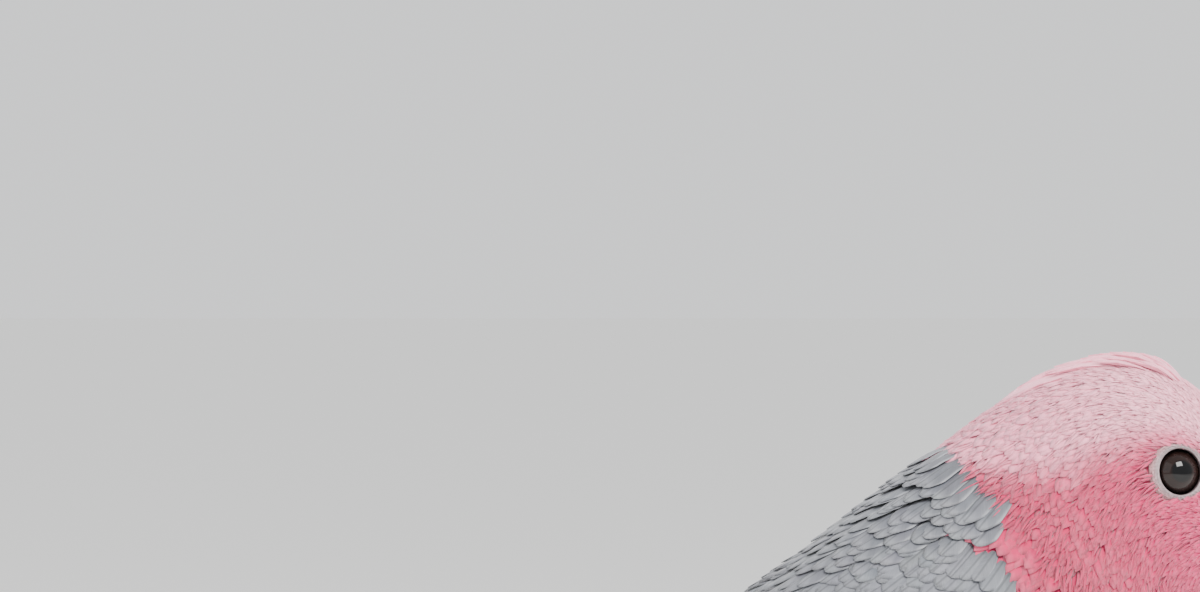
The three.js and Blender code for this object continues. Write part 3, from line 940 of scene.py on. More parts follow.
def claw_rows(side, toe):
    length = TOES[toe][1]
    return on_toe(side, toe, [
        (length - 2, 2.8, 1.7, 1.4),
        (length + 0.3 * CLAW, 4.3, 1.6, 1.3),
        (length + 0.7 * CLAW, 3.1, 1.05, 0.9),
        (length + 0.92 * CLAW, 0.7, 0.2, 0.2),
    ])


def tarsus_rows(side):
    x, y, ankle = leg_plan(side)
    return np.array([
        [ankle - 1.5, y, 29.5, 3.4, 3.8],
        [ankle + 1.5, y, 25.5, 4.1, 4.2],
        [x - 7.5, y, 15, 3.3, 3.6],
        [x - 1, y, 6, 4.2, 5.2],
        [x + 3.5, y, 2.7, 3, 4.6],
    ])


def body_within(t, angle):
    """The body inside its coat, as deep as the feathers' roots."""
    at = t * 12.2
    return coat_at(at, angle, -plan(DEPTH, at))


def thigh_within(rows, t, angle):
    return post_at(rows, t * 0.9, angle, -THIGH_DEPTH * (1 - t * 0.6))


def knuckled(rows, swell, blunt, t, angle):
    """A limb whose thickness swells at three places, and which may end in a round tip."""
    near_end = np.clip((t - 0.86) / 0.14, 0, 1)
    grow = swell * np.cos(6 * np.pi * t) - 0.15 - blunt * (1 - np.sqrt(1 - near_end**2))
    return limb_at(rows, t, angle, grow)


def lipped(rows, t, angle):
    """The toe's skin where it closes round the root of its claw."""
    grow = 0.95 * np.sqrt(np.sin(np.pi * np.clip(t, 0.02, 0.98))) - 0.35
    return limb_at(rows, -0.1 + 0.3 * t, angle, grow)


def skin_shapes():
    shapes = [loft(body_within, 90, 72)]
    for side in SIDES.values():
        shapes.append(mirrored(loft(arm_ring, 40, 48), side))
        shapes.append(loft(partial(thigh_within, thigh_rows(side)), 24, 32))
        shapes.append(loft(partial(knuckled, tarsus_rows(side), 0.1, 0.0), 30, 28))
        for toe in TOES:
            shapes.append(loft(partial(knuckled, toe_rows(side, toe), 0.25, 2.0), 60, 28))
            shapes.append(loft(partial(lipped, claw_rows(side, toe)), 20, 20))
    return shapes


def marking_samples():
    """Points of the coat all over the bird, and their colours."""
    a, t = pairs_of(np.linspace(-np.pi, np.pi, 90), np.linspace(0, 12.5, 150))
    points, colours = [coat_at(t, a)], [body_marking(t, a)]
    a, t = pairs_of(np.linspace(0, np.pi, 40), np.linspace(0, 1, 40))
    for side in SIDES.values():
        points.append(arm_at(t, a) * [1, side, 1])
        colours.append(arm_marking(t))
        points.append(post_at(thigh_rows(side), t, a * 2))
        colours.append(thigh_marking(t))
    return np.vstack(points), np.vstack(colours)


def nearest_colours(points):
    """For each point, the colour of the coat's nearest sample."""
    samples, colours = marking_samples()
    tree = KDTree(len(samples))
    for index, sample in enumerate(samples):
        tree.insert(sample, index)
    tree.balance()
    return colours[[tree.find(point)[1] for point in points]]


def along_foot(points):
    """Millimetres along the nearest toe, or up the leg, as a map for the foot's scales."""
    reach, nearest = points[:, 2].copy(), np.full(len(points), TOE_NEAR)
    for side in SIDES.values():
        x, y, _ = leg_plan(side)
        for toe in TOES:
            cos, sin, length = heading(side, toe)
            apart = points - [x, y, TOE_MIDDLE]
            out = apart[:, 0] * cos + apart[:, 1] * sin
            aside = np.hypot(apart[:, 0] * sin - apart[:, 1] * cos, apart[:, 2])
            aside = np.where((out > 4) & (out < length + 3), aside, 99)
            reach = np.where(aside < nearest, out, reach)
            nearest = np.minimum(nearest, aside)
    return np.stack([reach, nearest], -1)


def eye_axis(side):
    """Where an eye is, and which way it looks."""
    turn, tip = math.radians(EYE["turn"]), math.radians(EYE["tip"])
    looks = np.array([
        math.sin(turn) * math.cos(tip), side * math.cos(turn) * math.cos(tip), math.sin(tip)
    ])
    return np.array(EYE["at"]) * [1, side, 1], looks


def off_axis(points, side):
    """How far points are from the line along which an eye looks, if they are on its side."""
    centre, looks = eye_axis(side)
    apart = points - centre
    out = (apart * looks).sum(-1)
    away = np.linalg.norm(apart - out[..., None] * looks, axis=-1)
    return np.where(out > -4, away, 99.0)


def make_skin():
    points, quads = remeshed(skin_shapes(), SKIN_VOXEL, SKIN_SOFTENING)
    points[:, 2] = np.maximum(points[:, 2], 0)
    for side in SIDES.values():
        sunk = SOCKET_DEPTH * smooth_step(*SOCKET_EDGE, off_axis(points, side))
        points = points - eye_axis(side)[1] * sunk[:, None]
    nodes = ["head", "neck", "trunk", "tail_base"]
    for letter in SIDES:
        nodes += [f"wing_{letter}", f"thigh_{letter}", f"tarsus_{letter}"]
        nodes += [f"toe_{toe}_{letter}" for toe in TOES]
    shape, colours = (points, [(quads, True)]), nearest_colours(points)
    maps = {"Scales": along_foot(points)}
    skin = piece("skin", shape, skin_material(), "foot", nodes, colours, maps)
    skin.data.materials.append(foot_material())
    bare = points[quads][:, :, 2].mean(1) < BARE_BELOW
    fill(skin.data.polygons, "material_index", bare, np.int32)


make_skin()


# ---- Coat of head, neck and trunk ----

FACE = {"rows": 5, "columns": 5, "round": 0.5, "blunt": 1.4, "ragged": 0.1,
        "root": 0.5, "camber": 0.14, "thick": 0.08}
NECK = {"rows": 5, "columns": 7, "round": 0.36, "blunt": 2.2, "ragged": 0.04, "fray": 0.05,
        "root": 0.45, "camber": 0.24, "thick": 0.1}
TRUNK = {"rows": 6, "columns": 9, "round": 0.3, "blunt": 2.6, "ragged": 0.025, "fray": 0.03,
         "root": 0.4, "camber": 0.24, "thick": 0.15}
HAIR = {"rows": 4, "columns": 3, "round": 0.7, "blunt": 1, "ragged": 0.1,
        "root": 0.7, "camber": 0.1, "thick": 0.05}
# How a tract's feathers, and its loose outer barbs, go by the plan: length and half
# width as shares, and how far they turn, rise and are sunk.
FEATHER = {"long": 1, "shorter": 0, "half": 1.05, "turn": 0.1, "lift": 0, "deep": 1}
BARB = {"long": 0.62, "shorter": 0.03, "half": 0.22, "turn": 0.18, "lift": 0.12, "deep": 0.3}
# Mm that feathers keep clear of the line along which an eye looks, and how much more their
# tips and roots do. One doesn't grow if less than the least share of it would be left.
EYE_ROOM = 5.9
TIP_ROOM = 0.2
ROOT_ROOM = 0.3
LEAST_SHARE = 0.3


def clear_of_eyes(t, a, length, turn):
    """Feathers kept off the eyes: which may grow, and their lengths."""
    points, _, _ = lay(coat_at, t, a, length, turn, 0.0)
    away = np.minimum(off_axis(points, 1), off_axis(points, -1))
    inside = away < EYE_ROOM
    inside[:, -1] |= away[:, -1] < EYE_ROOM + TIP_ROOM
    first = np.where(inside.any(1), inside.argmax(1), LEVELS)
    share = np.clip((first - 1) / (LEVELS - 1), 0, 1)
    return (away[:, 0] > EYE_ROOM + ROOT_ROOM) & (share > LEAST_SHARE), length * share


def on_wing(t):
    """A section of the body as a share of the wing's arm."""
    return ((t - CARRIER_START) / CARRIER_STEPS - WING["start"]) / WING["length"]


def under_wing(t, a):
    """Whether the folded wings hide a place on the body."""
    share = on_wing(t)
    across = across_wing(share, from_top(a))
    return (share > 0.12) & (share < 0.95) & (across > -0.7) & (across < 0.5)


def raised(t, a):
    """How much feathers rise: over the wing's front edge, to meet the scapulars in the
    middle of the back, and all round the tail's root."""
    away = np.degrees(from_top(a))
    front = 1.7 * window(t, 4.2, 4.9, 5.5, 6.1) * window(away, 28, 46, 98, 116)
    back = 3.4 * window(t, 5.4, 6.6, 7.0, 8.4) * smooth_step(40, 6, away)
    beside = 3.4 * smooth_step(9.2, 11.0, t) * window(away, 25, 55, 66, 92)
    return front + back + beside + 4.0 * smooth_step(9.4, 10.8, t) * np.sin(from_top(a)) ** 2


def coat_batch(start, end, look, dense, kind, rng):
    """One tract of the body's coat, ready for feathers()."""
    spacing = partial(plan, SPACING * dense)
    t, a = roots(coat_at, (start, end), (-np.pi, np.pi), spacing, rng)
    kept = ~under_wing(t, a)
    if kind is BARB:
        kept &= (t < 4.8) | (np.degrees(from_top(a)) > 75)
    t, a = t[kept], a[kept]
    length = plan(LENGTH, t) * rng.normal(kind["long"] - kind["shorter"] * t, 0.08)
    turn = rng.normal(0, kind["turn"], len(t))
    kept, length = clear_of_eyes(t, a, length, turn)
    t, a, length, turn = t[kept], a[kept], length[kept], turn[kept]
    lift = raised(t, a) + rng.normal(kind["lift"], 0.06, len(t))
    deep = plan(DEPTH, t) * kind["deep"]
    roll = rng.normal(0, 0.035, len(t))
    half = plan(SPACING, t) * rng.normal(kind["half"], 0.06, len(t))
    half = np.minimum(half, length * 0.4)
    vanes = grown(coat_at, t, a, length, turn, deep, lift, roll, half, look, rng)
    colour = body_marking(t + 0.5 * length / plan(LENGTH, t), a)
    fringe = mix(colour, WHITE, 0.1)
    # The 0.85 is the painted shade at the feathers' roots.
    colours = shaded(vanes, uneven(colour, rng, 0.04), uneven(fringe, rng, 0.04), 0.85)
    return vanes, colours, on_body_map(t, a)


def make_coat():
    rng = np.random.default_rng([SEED, 1])
    tracts = {
        "coat_face": (-0.12, 1.8, FACE, 0.85, FEATHER),
        "coat_head": (1.8, 3.4, FACE, 0.85, FEATHER),
        "coat_nape": (3.4, 4.9, NECK, 0.92, FEATHER),
        "coat_shoulders": (4.9, 6.6, TRUNK, 0.92, FEATHER),
        "coat_back": (6.6, 8.8, TRUNK, 1.0, FEATHER),
        "coat_hind": (8.8, 12.0, TRUNK, 1.25, FEATHER),
        "barbs_head": (0.3, 3.4, HAIR, 0.8, BARB),
        "barbs_neck": (3.4, 6.4, HAIR, 0.8, BARB),
    }
    for name, tract in tracts.items():
        feathers(name, [coat_batch(*tract, rng)], down, "plumage_rose")


def make_cheeks():
    """Feathers of the cheeks that fan forwards over the root of the lower bill."""
    rng = np.random.default_rng([SEED, 6])
    count = 220
    batches = []
    for side in SIDES.values():
        t = rng.uniform(0.16, 1.5, count)
        a = side * rng.uniform(1.45, 2.75, count)
        length = (2.6 + 3.8 * t) * rng.normal(1, 0.1, count)
        turn = np.pi + side * rng.normal(0.1, 0.2, count)
        lift = rng.normal(0.35, 0.1, count)
        half = rng.uniform(0.55, 0.95, count)
        vanes = grown(coat_at, t, a, length, turn, 0.9, lift, 0.0, half, FACE, rng)
        colour = uneven(body_marking(t, a), rng, 0.04)
        # The 0.85 is the painted shade at the feathers' roots.
        colours = shaded(vanes, colour, colour * 1.08, 0.85)
        batches.append((vanes, colours, on_body_map(t, a)))
    feathers("coat_cheeks", batches, down, "plumage_rose")


make_coat()
make_cheeks()


# ---- Crest ----

PLUME = {"rows": 10, "columns": 7, "round": 0.34, "blunt": 2.0, "ragged": 0.03, "fray": 0.12,
         "root": 0.35, "camber": 0.28, "thick": 0.15, "ridge": 0.06}


def make_crest():
    """Long narrow plumes from the forehead back, laid flat over the crown."""
    rng = np.random.default_rng([SEED, 2])
    batches = []
    for layer, (sunk, count) in enumerate(((5.0, 44), (2.8, 56), (0.6, 64))):
        t = np.sort(rng.uniform(0.0, 1.0, count)) ** 1.2 * (0.62 - 0.08 * layer)
        roll = rng.uniform(-0.46, 0.46, count) * (1 - 0.45 * t)
        length = np.minimum(17 + 62 * t, 62 * (1.08 - t)) * rng.normal(1, 0.07, count)
        turn = -roll * 0.12
        half = 0.85 + 1.6 * t + 0.5 * rng.uniform(size=count)
        vanes = grown(crest_at, t, roll, length, turn, 5.0, -sunk, roll * 0.5, half, PLUME, rng, 13)
        base = mix(NAPE_PINK, FACE_ROSE, 0.45)
        colour = uneven(mix(CAP_PINK, NAPE_PINK, 0.15), rng, 0.03, count)
        colours = mix(base, colour[:, None, None, :], smooth_step(0.05, 0.5, vanes.along))
        batches.append((vanes, colours, on_body_map(1.0 + 2.4 * t, roll)))
    feathers("crest_plumes", batches, down, "plumage_crown", ["crest"])


make_crest()


# ---- Wings ----

COVERT = {"rows": 8, "columns": 13, "round": 0.32, "blunt": 2.6, "ragged": 0.008,
          "root": 0.4, "camber": 0.1, "thick": 0.25, "ridge": 0.1}
SCAPULAR = {**COVERT, "camber": 0.2}
QUILL = {"rows": 26, "columns": 13, "round": 0.12, "blunt": 2.6, "ragged": 0.004, "fray": 0.006,
         "root": 0.5, "camber": 0.02, "thick": 0.25, "ridge": 0.14, "lean": 0.22, "crowd": 0.85}


def arm_feathers(t, a, length, half, lift, side, rng, look=COVERT):
    """Coverts over the wing's arm, ready for feathers()."""
    turn, roll = rng.normal(0, 0.04, len(t)), rng.normal(-0.04, 0.02, len(t))
    vanes = grown(wing_at, t, a, length, turn, 1.2, lift, roll, half, look, rng)
    base = uneven(arm_marking(t), rng, 0.035)
    # The 0.75 is the painted shade at the coverts' roots.
    colours = shaded(vanes, base, mix(base, FRINGE_GREY, 0.42), 0.75, 0.66)
    return vanes, colours, on_wing_map(t, a, side)


def row_of(count, start, end, rng):
    """Even places from start to end, each a little off."""
    return np.linspace(start, end, count) + rng.normal(0, 0.15, count) * (end - start) / count


def make_coverts(side, rng):
    """The small feathers over the arm, then three rows, each longer than the last."""
    t, a = roots(wing_at, (0.0, 0.4), (0.2, 2.1), partial(np.polyval, (2.4, 2.6)), rng)
    kept = np.abs(across_wing(t, a)) < 0.97
    t, a = t[kept], a[kept]
    batches = [arm_feathers(t, a, 9 + 22 * t, 2.5 + 4.4 * t, 0.3, side, rng, TRUNK)]
    rows = ((0.38, 16, 21, 4.4, 0.25), (0.47, 15, 26, 5.2, 0.0), (0.6, 15, 34, 6, -0.1))
    for at, count, long, wide, lift in rows:
        across = row_of(count, 0.93, -0.9, rng)
        t = at + 0.07 * across + rng.normal(0, 0.006, count)
        length = long * rng.normal(1, 0.03, count) * (1 - 0.2 * np.abs(across) ** 3)
        lift = lift + 0.4 * np.linspace(0, 1, count) + 1.0 * np.maximum(-across, 0) ** 2
        half = np.full(count, wide)
        batches.append(arm_feathers(t, on_arm(t, across), length, half, lift, side, rng))
    return batches


def scapulars(rng):
    """Feathers of the shoulder that cover the wing's upper edge."""
    spacing = partial(np.polyval, (2.4, 3.2))
    t, a = roots(scapular_at, (-0.1, 0.7), (0.08, 1.0), spacing, rng)
    kept = a < 1.0 - 0.6 * smooth_step(0.0, 0.35, t)
    t, a = t[kept], a[kept]
    back = np.clip(t, 0, 1)
    length, half = 12 + 19 * back, 2.9 + 2.8 * back
    lift = 0.5 + 1.1 * smooth_step(0.36, 0.56, t)
    turn, roll = rng.normal(0.03, 0.05, len(t)), rng.normal(-0.1, 0.03, len(t))
    vanes = grown(scapular_at, t, a, length, turn, 2.4, lift, roll, half, SCAPULAR, rng)
    base = uneven(MANTLE_GREY, rng, 0.04, len(t))
    fringe = uneven(mix(MANTLE_GREY, FRINGE_GREY, 0.6), rng, 0.03, len(t))
    places = on_body_map(CARRIER_START + CARRIER_STEPS * under_scapulars(t), a)
    # The 0.75 is the painted shade at the scapulars' roots.
    return vanes, shaded(vanes, base, fringe, 0.75, 0.65), places


def folded(roots_at, tips_at, half, rng):
    """Flight feathers that hug the wing's carrier, from roots to tips: v, degrees, height."""
    def hugging(share, aside, above):
        places = roots_at[:, None] + (tips_at - roots_at)[:, None] * share.reshape(len(half), -1, 1)
        v, degrees, height = places.reshape(-1, 3).T
        middle = np.radians(degrees)
        _, _, _, spin = frames(carrier_at, v, middle)
        a = np.maximum(middle - aside.ravel() / spin, 0.03)
        point, normal, _, _ = frames(carrier_at, v, a)
        height = height + above.ravel() - 0.045 * aside.ravel()
        return (point + normal * height[:, None]).reshape(*share.shape, 3)

    share = np.tile(np.linspace(0, 1, 15), (len(half), 1))
    points = hugging(share, 0 * share, 0 * share)
    length = np.linalg.norm(np.diff(points, axis=1), axis=-1).sum(1)
    vanes = Vanes(lines(points, np.ones_like(points)), length, half, QUILL, rng)
    vanes.top = hugging(vanes.along, vanes.sideways, vanes.above)
    vanes.under = hugging(vanes.shaft, 0 * vanes.shaft, vanes.sunk)
    return vanes


def quill_colours(vanes, colour, fringe, rng, tip=None):
    """Flight feathers' colours: paler along the outer edge, of another tone at the tip."""
    base = uneven(colour, rng, 0.03, vanes.count)
    # The 0.85 is the painted shade at the flight feathers' roots.
    colours = shaded(vanes, base, np.tile(fringe, (vanes.count, 1)), 0.85, 0.84)
    if tip is not None:
        colours = mix(colours, tip, smooth_step(0.45, 1.0, vanes.along) * 0.8)
    outer = smooth_step(0.0, 0.3, -vanes.x)
    return colours * (1 + 0.22 * outer)[..., None]


def flight_row(roots_at, tips_at, half, colour, fringe, places, rng):
    """A row of flight feathers, ready for feathers()."""
    vanes = folded(roots_at, tips_at, half, rng)
    return vanes, quill_colours(vanes, colour, fringe, rng), places


def make_flight_feathers(side, rng):
    """Primaries, the coverts at their root, and secondaries up to the broad inmost four."""
    pale = mix(PRIMARY_GREY, FRINGE_GREY, 0.25)
    s = np.linspace(0, 1, 8)
    root = ramps(s, (0.38, 0), (104, -24), (1, 0.4))
    tip = ramps(s, (0.935, -0.2), (66, -24), (1.2, 1.6))
    places = on_wing_map(0.97, s, side)
    primaries = flight_row(root, tip, 7.6 - s, PRIMARY_GREY, pale, places, rng)
    s = np.linspace(0, 1, 5)
    root = ramps(s, (0.34, 0), (110, -12), (0.8, 0.2))
    tip = ramps(s, (0.545, -0.04), (94, -10), (1.6, 0.6))
    places = on_wing_map(0.8, s, side)
    dark = mix(PRIMARY_GREY, SECONDARY_GREY, 0.5)
    coverts = flight_row(root, tip, 5.4 - s, dark, pale, places, rng)
    s = np.concatenate([np.linspace(0, 0.6, 9), [0.7, 0.8, 0.9, 1.0]])
    inmost = smooth_step(0.55, 1.1, s)
    root = ramps(s, (0.32, 0), (94, -74), (1.2, 1.8))
    tip = ramps(s, (0.672, -0.06), (80, -54), (3, 2.4))
    tip[:, 0] += rng.normal(0, 0.003, len(s)) - 0.1 * inmost
    places = on_wing_map(0.9, np.pi * (1 - s), side)
    pale = mix(SECONDARY_GREY, FRINGE_GREY, 0.45)
    secondaries = flight_row(root, tip, 8.2 + 1.4 * inmost, SECONDARY_GREY, pale, places, rng)
    return [primaries, coverts, secondaries]


def make_wing(letter, side):
    rng = np.random.default_rng([SEED, 3, 1 + side])
    flight = make_flight_feathers(side, rng)
    nodes = [f"primaries_{letter}", f"secondaries_{letter}"]
    feathers(f"flight_feathers_{letter}", flight, webs, "plumage_dark_grey", nodes, side)
    coverts = make_coverts(side, rng) + [scapulars(rng)]
    feathers(f"coverts_{letter}", coverts, webs, "plumage_grey", (), side)


for letter, side in SIDES.items():
    make_wing(letter, side)


# ---- Tail ----


def rectrices(side, rng):
    """The tail feathers of one side, from the middle one on top outwards."""
    k = np.arange(TAIL["pairs"])
    x, y, z = TAIL["root"]
    slope = np.radians(TAIL["slope"] + 0.4 * k)
    outwards = np.tan(np.radians(TAIL["spread"]) * (0.4 + 0.7 * k))
    ahead = np.stack([-np.cos(slope), outwards, -np.sin(slope)], -1)
    start = ramps(k, (x, 0), (y + 1.4, 1.1), (z, -0.7))
    length = TAIL["length"] - 1.7 * k
    run = np.linspace(0, 1, 9)[None, :, None] * length[:, None, None]
    points = start[:, None, :] + ahead[:, None, :] * run
    tilt = np.radians(4 + 4 * k)
    up = np.stack([0 * tilt, np.sin(tilt), np.cos(tilt)], -1)
    line = lines(points, np.broadcast_to(up[:, None, :], points.shape))
    vanes = Vanes(line, length, np.full(len(k), 8.6), QUILL, rng)
    colours = quill_colours(vanes, TAIL_GREY, mix(TAIL_GREY, FRINGE_GREY, 0.3), rng, TAIL_TIP)
    return vanes, colours, ramps(k, (0.5 + side * 0.03, side * 0.07), (0.6, 0))


def make_tail():
    for letter, side in SIDES.items():
        rng = np.random.default_rng([SEED, 4, 1 + side])
        nodes = ["tail"] if side > 0 else []
        batches = [rectrices(side, rng)]
        feathers(f"tail_feathers_{letter}", batches, webs, "plumage_dark_grey", nodes, side)


make_tail()


# ---- Thighs ----


def make_thigh(letter, side):
    """Short feathers down the thigh and on over the ankle as a close cuff."""
    rng = np.random.default_rng([SEED, 5, 1 + side])
    at = partial(post_at, thigh_rows(side))
    t, a = roots(at, (0.0, 0.8), (-np.pi, np.pi), partial(np.polyval, (-1.7, 2.7)), rng)
    length = (13.5 - 10 * t) * rng.normal(1, 0.08, len(t))
    turn, depth = rng.normal(0, 0.1, len(t)), THIGH_DEPTH * (1 - 0.8 * t)
    vanes = grown(at, t, a, length, turn, depth, 0.0, 0.0, 2.8 - 1.9 * t, FACE, rng)
    base = uneven(thigh_marking(t + 0.15), rng)
    # shaded() paints shade at the roots here, at its default share of 0.7.
    colours = shaded(vanes, base, mix(base, WHITE, 0.12))
    batch = (vanes, colours, on_thigh_map(t, a, side))
    feathers(f"coat_thigh_{letter}", [batch], down, "plumage_rose")


for letter, side in SIDES.items():
    make_thigh(letter, side)


# ---- Eyes ----

PUPIL = linear(2, 2, 3)
IRIS = linear(25, 13, 10)
IRIS_RIM = linear(9, 6, 6)
LID_EDGE = linear(58, 46, 48)
RING_GREY = linear(158, 142, 145)
RING_ROSE = linear(188, 134, 140)
PUPIL_EDGE = (2.1, 2.5)
IRIS_EDGE = (3.8, 4.6)
CORNEA = 0.35
EYE_GRID = (72, 64)
RING_GRID = (80, 160)


def turned_to(side, radius, angle, out):
    """Points round the line along which an eye looks, and out along it."""
    centre, looks = eye_axis(side)
    level = unit(np.cross([0, 0, 1], looks))
    local = np.stack([radius * np.cos(angle), radius * np.sin(angle), out], -1)
    return centre + local @ np.stack([level, np.cross(looks, level), looks])


def from_pole(t):
    """The angle at the eyeball's middle between a ring and the pole at the front."""
    return 0.003 + t * 3.135


def eyeball(side):
    """A ball with a bulging cornea; t runs from the pole at the front to the back."""
    def place(t, angle):
        polar = from_pole(t)
        radius = EYE["radius"] + CORNEA * np.exp(-((polar / 0.5) ** 4))
        return turned_to(side, radius * np.sin(polar), angle, radius * np.cos(polar))

    return loft(place, *EYE_GRID)


def ring_by_ring(colours, grid, end):
    """The colours of a loft's points, one for each ring, and of its two ends."""
    return np.vstack([np.repeat(colours, grid[1], 0), end, end])


def eye_colours():
    radius = EYE["radius"] * np.sin(from_pole(np.linspace(0, 1, EYE_GRID[0])))
    iris, rim = smooth_step(*PUPIL_EDGE, radius), smooth_step(*IRIS_EDGE, radius)
    return ring_by_ring(layered(PUPIL, (IRIS, iris), (IRIS_RIM, rim)), EYE_GRID, PUPIL)


# The section of the eyelids: mm out from the line along which the eye looks, and along it.
RING_FACE = np.array([
    (5.25, 2.95), (4.86, 3.8), (4.84, 4.25), (5.02, 4.72), (5.36, 4.98), (5.8, 4.9),
    (6.24, 4.6), (6.66, 4.05), (6.9, 3.3), (6.3, 2.6), (5.25, 2.95),
])


def eye_ring(side):
    """Bare skin round the eye: a thin lid edge, then warty folds that sink into the coat."""
    last = len(RING_FACE) - 1

    def place(t, angle):
        radius, height = along(RING_FACE, t * last).T
        face = window(t, 0.3, 0.42, 0.7, 0.8)
        fold = 0.1 * np.cos(t * 60 + 0.8 * np.sin(3 * angle) + 0.7 * np.sin(8 * angle))
        uneven_turn = angle + 0.09 * np.sin(5 * angle) + 0.05 * np.sin(13 * angle + 9 * t)
        warts = 0.24 * np.cos(26 * uneven_turn + 50 * t) * np.cos(19 * angle - 62 * t)
        height = height + face * (fold + warts)
        opening = 1 - 0.035 * np.cos(2 * angle) * smooth_step(0.55, 0.2, t)
        return turned_to(side, radius * opening, angle, height)

    return loft(place, *RING_GRID)


def ring_colours():
    t = np.linspace(0, 1, RING_GRID[0])
    grey, rose = smooth_step(0.22, 0.36, t), smooth_step(0.4, 0.7, t) * 0.7
    return ring_by_ring(layered(LID_EDGE, (RING_GREY, grey), (RING_ROSE, rose)), RING_GRID, RING_GREY)


def make_eyes():
    eye, ring = eye_material(), ring_material()
    for letter, side in SIDES.items():
        ball, lids = f"eyeball_{letter}", f"eyelids_{letter}"
        piece(ball, eyeball(side), eye, "eye", [f"eye_{letter}"], eye_colours())
        piece(lids, eye_ring(side), ring, "eye_ring", [f"eye_ring_{letter}"], ring_colours())


make_eyes()


# ---- Bill and cere ----

# The nostrils: the section of the upper bill, and degrees from its top.
NOSTRIL = {"section": 0.98, "angle": 46.0}


def nostril():
    """The middle of the left nostril, on the cere's outside."""
    rows = along(UPPER_BILL, NOSTRIL["section"])
    return on_section(rows, np.radians([NOSTRIL["angle"]]), 1.0)[0]


def off_nostrils(points):
    """How far points are from the nearer nostril."""
    return np.linalg.norm(points * [1, 0, 1] + np.abs(points) * [0, 1, 0] - nostril(), axis=1)


def below(angle):
    """1 along the lower edge of a section, 0 over its upper half."""
    return smooth_step(1.9, 2.9, np.abs(angle))


def upper_bill(t, angle):
    """The hooked half, with a notch in its cutting edge and a faint keel on top."""
    at = t * 5
    angle = wrapped(angle)
    notch = 0.6 * np.exp(-(((at - 2.4) / 0.26) ** 2)) - 0.5 * np.exp(-(((at - 1.75) / 0.3) ** 2))
    keel = 0.22 * np.exp(-((angle / 0.25) ** 2)) * smooth_step(0.9, 2.0, at)
    flakes = 0.025 * np.cos(at * 21 + 2.5 * np.cos(2 * angle)) * smooth_step(1, 2, at)
    grow = keel + flakes - notch * below(angle)
    pit = 1.8 * smooth_step(2.0, 1.2, off_nostrils(on_section(along(UPPER_BILL, at), angle)))
    tip = 0.42 * (1 - np.sqrt(1 - np.clip((at - 4.9) / 0.1, 0, 1) ** 2))
    return on_section(along(UPPER_BILL, at), angle, grow - pit - tip)


def lower_bill(t, angle):
    """The lower half, closed up inside the hook."""
    at = t * 3
    ridges = 0.03 * np.cos(at * 24) * smooth_step(0.5, 1.5, at)
    return on_section(along(LOWER_BILL, at), angle, ridges)


def cere(t, angle):
    """A soft band over the root of the bill, swollen round two nostrils."""
    around = wrapped(angle)
    outside = np.abs(around) < np.pi / 2
    turn = np.where(outside, around, np.sign(around) * np.pi - around)
    at = t * (1.36 - 0.3 * np.abs(turn / 1.57) ** 2)
    swell = 1.3 * np.sqrt(np.clip(1 - np.clip((t - 0.45) / 0.53, 0, 1) ** 2.4, 0, 1))
    swell = swell * smooth_step(1.5, 1.0, np.abs(turn)) - 0.3
    rows = along(UPPER_BILL, at)
    away = off_nostrils(on_section(rows, turn, 1.0))
    swell = swell + 0.55 * np.exp(-((away / 2.3) ** 2)) - 2.0 * np.exp(-((away / 0.95) ** 4))
    folds = 0.09 * np.cos(at * 34 + 3 * np.cos(turn * 2)) + 0.07 * np.cos(turn * 31 + at * 9)
    return on_section(rows, turn, np.where(outside, swell + folds, -1.6))


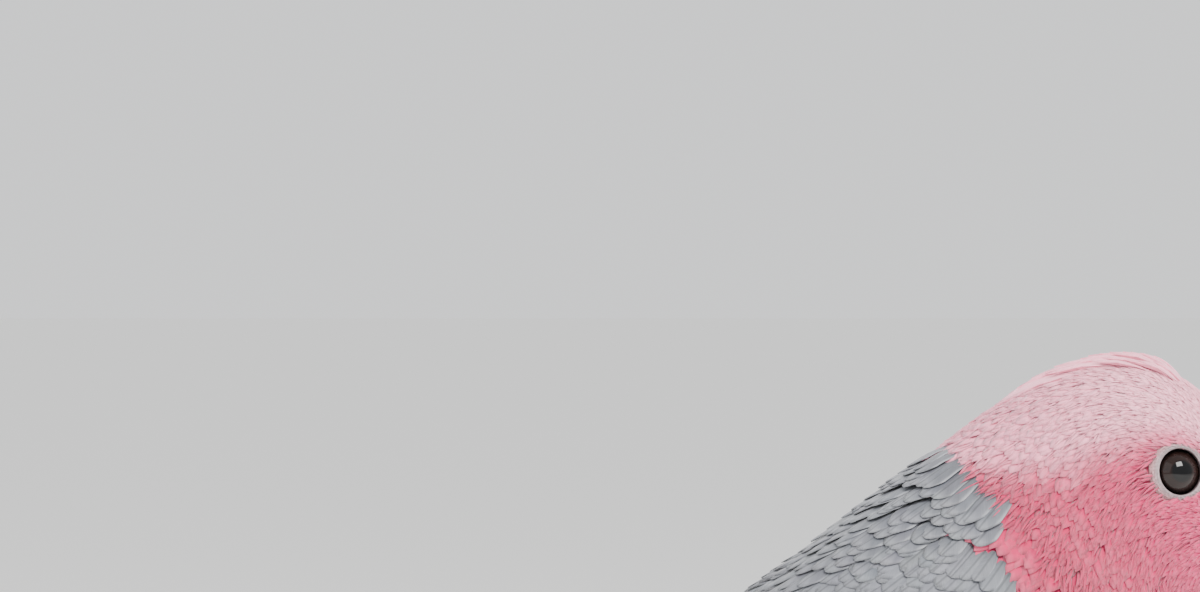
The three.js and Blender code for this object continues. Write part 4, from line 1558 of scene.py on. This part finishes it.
def make_bill():
    bone = bill_material()
    horn("bill_upper_horn", upper_bill, 100, 80, bone, "bill", "bill_upper", 38, 7)
    horn("bill_lower_horn", lower_bill, 50, 64, bone, "bill", "bill_lower", 17, 6)
    shape = loft(cere, 70, 132)
    # Painted shade: the skin in and round each nostril is painted near black for the shade inside the
    # hole.
    clear_of_painted_nostril_shade = smooth_step(0.9, 1.3, off_nostrils(shape[0]))
    colours = mix(linear(18, 14, 14), linear(158, 148, 151), clear_of_painted_nostril_shade)
    piece("cere_skin", shape, cere_material(), "cere", ["cere"], colours)


make_bill()


# ---- Claws ----


def make_claws():
    dark = claw_material()
    for letter, side in SIDES.items():
        for toe in TOES:
            place = partial(limb_at, claw_rows(side, toe))
            name, node = f"horn_{toe}_{letter}", f"claw_{toe}_{letter}"
            horn(name, place, 30, 20, dark, "claw", node, 14, 1.5)


make_claws()


# ---- Floor, light and camera ----


def floor():
    nodes = Nodes("floor", 0.6, Base_Color=(*linear(251, 250, 248), 1.0))
    bpy.ops.mesh.primitive_plane_add(size=120)
    plane = bpy.context.object
    plane.name = "floor"
    plane.data.materials.append(nodes.material)


def soft_light(name, place, size, power, colour):
    light = bpy.data.lights.new(name, "AREA")
    light.size = size
    light.energy = power
    light.color = colour
    lamp = bpy.data.objects.new(name, light)
    lamp.location = place
    lamp.rotation_euler = (Vector((0, 0, 0.1)) - Vector(place)).to_track_quat("-Z", "Y").to_euler()
    bpy.context.collection.objects.link(lamp)


# Metres from the bird's eye to the camera, and from the bird's middle plane.
CAMERA = {"behind": 0.1252, "above": 0.0387, "away": 1.47}


def camera():
    """A long lens, held level, that looks at the bird from its right side."""
    lens = bpy.data.cameras.new("camera")
    lens.lens = 200
    lens.sensor_width = 36
    view = bpy.data.objects.new("camera", lens)
    eye = in_frame(EYE["at"])
    view.location = (eye[0] - CAMERA["behind"], -CAMERA["away"], eye[2] + CAMERA["above"])
    view.rotation_euler = (math.pi / 2, 0, 0)
    bpy.context.collection.objects.link(view)
    bpy.context.scene.camera = view


floor()
soft_light("key", (0.6, -1.3, 1.6), 1.0, 84, (1, 0.98, 0.95))
soft_light("fill", (-1.5, -0.9, 1.0), 1.8, 10, (0.95, 0.97, 1))
soft_light("back", (0.2, 1.6, 1.4), 1.8, 34, (1, 1, 1))
world = bpy.data.worlds.new("studio")
world.use_nodes = True
world.node_tree.nodes["Background"].inputs["Color"].default_value = (0.86, 0.87, 0.88, 1)
world.node_tree.nodes["Background"].inputs["Strength"].default_value = 1.25
bpy.context.scene.world = world
camera()
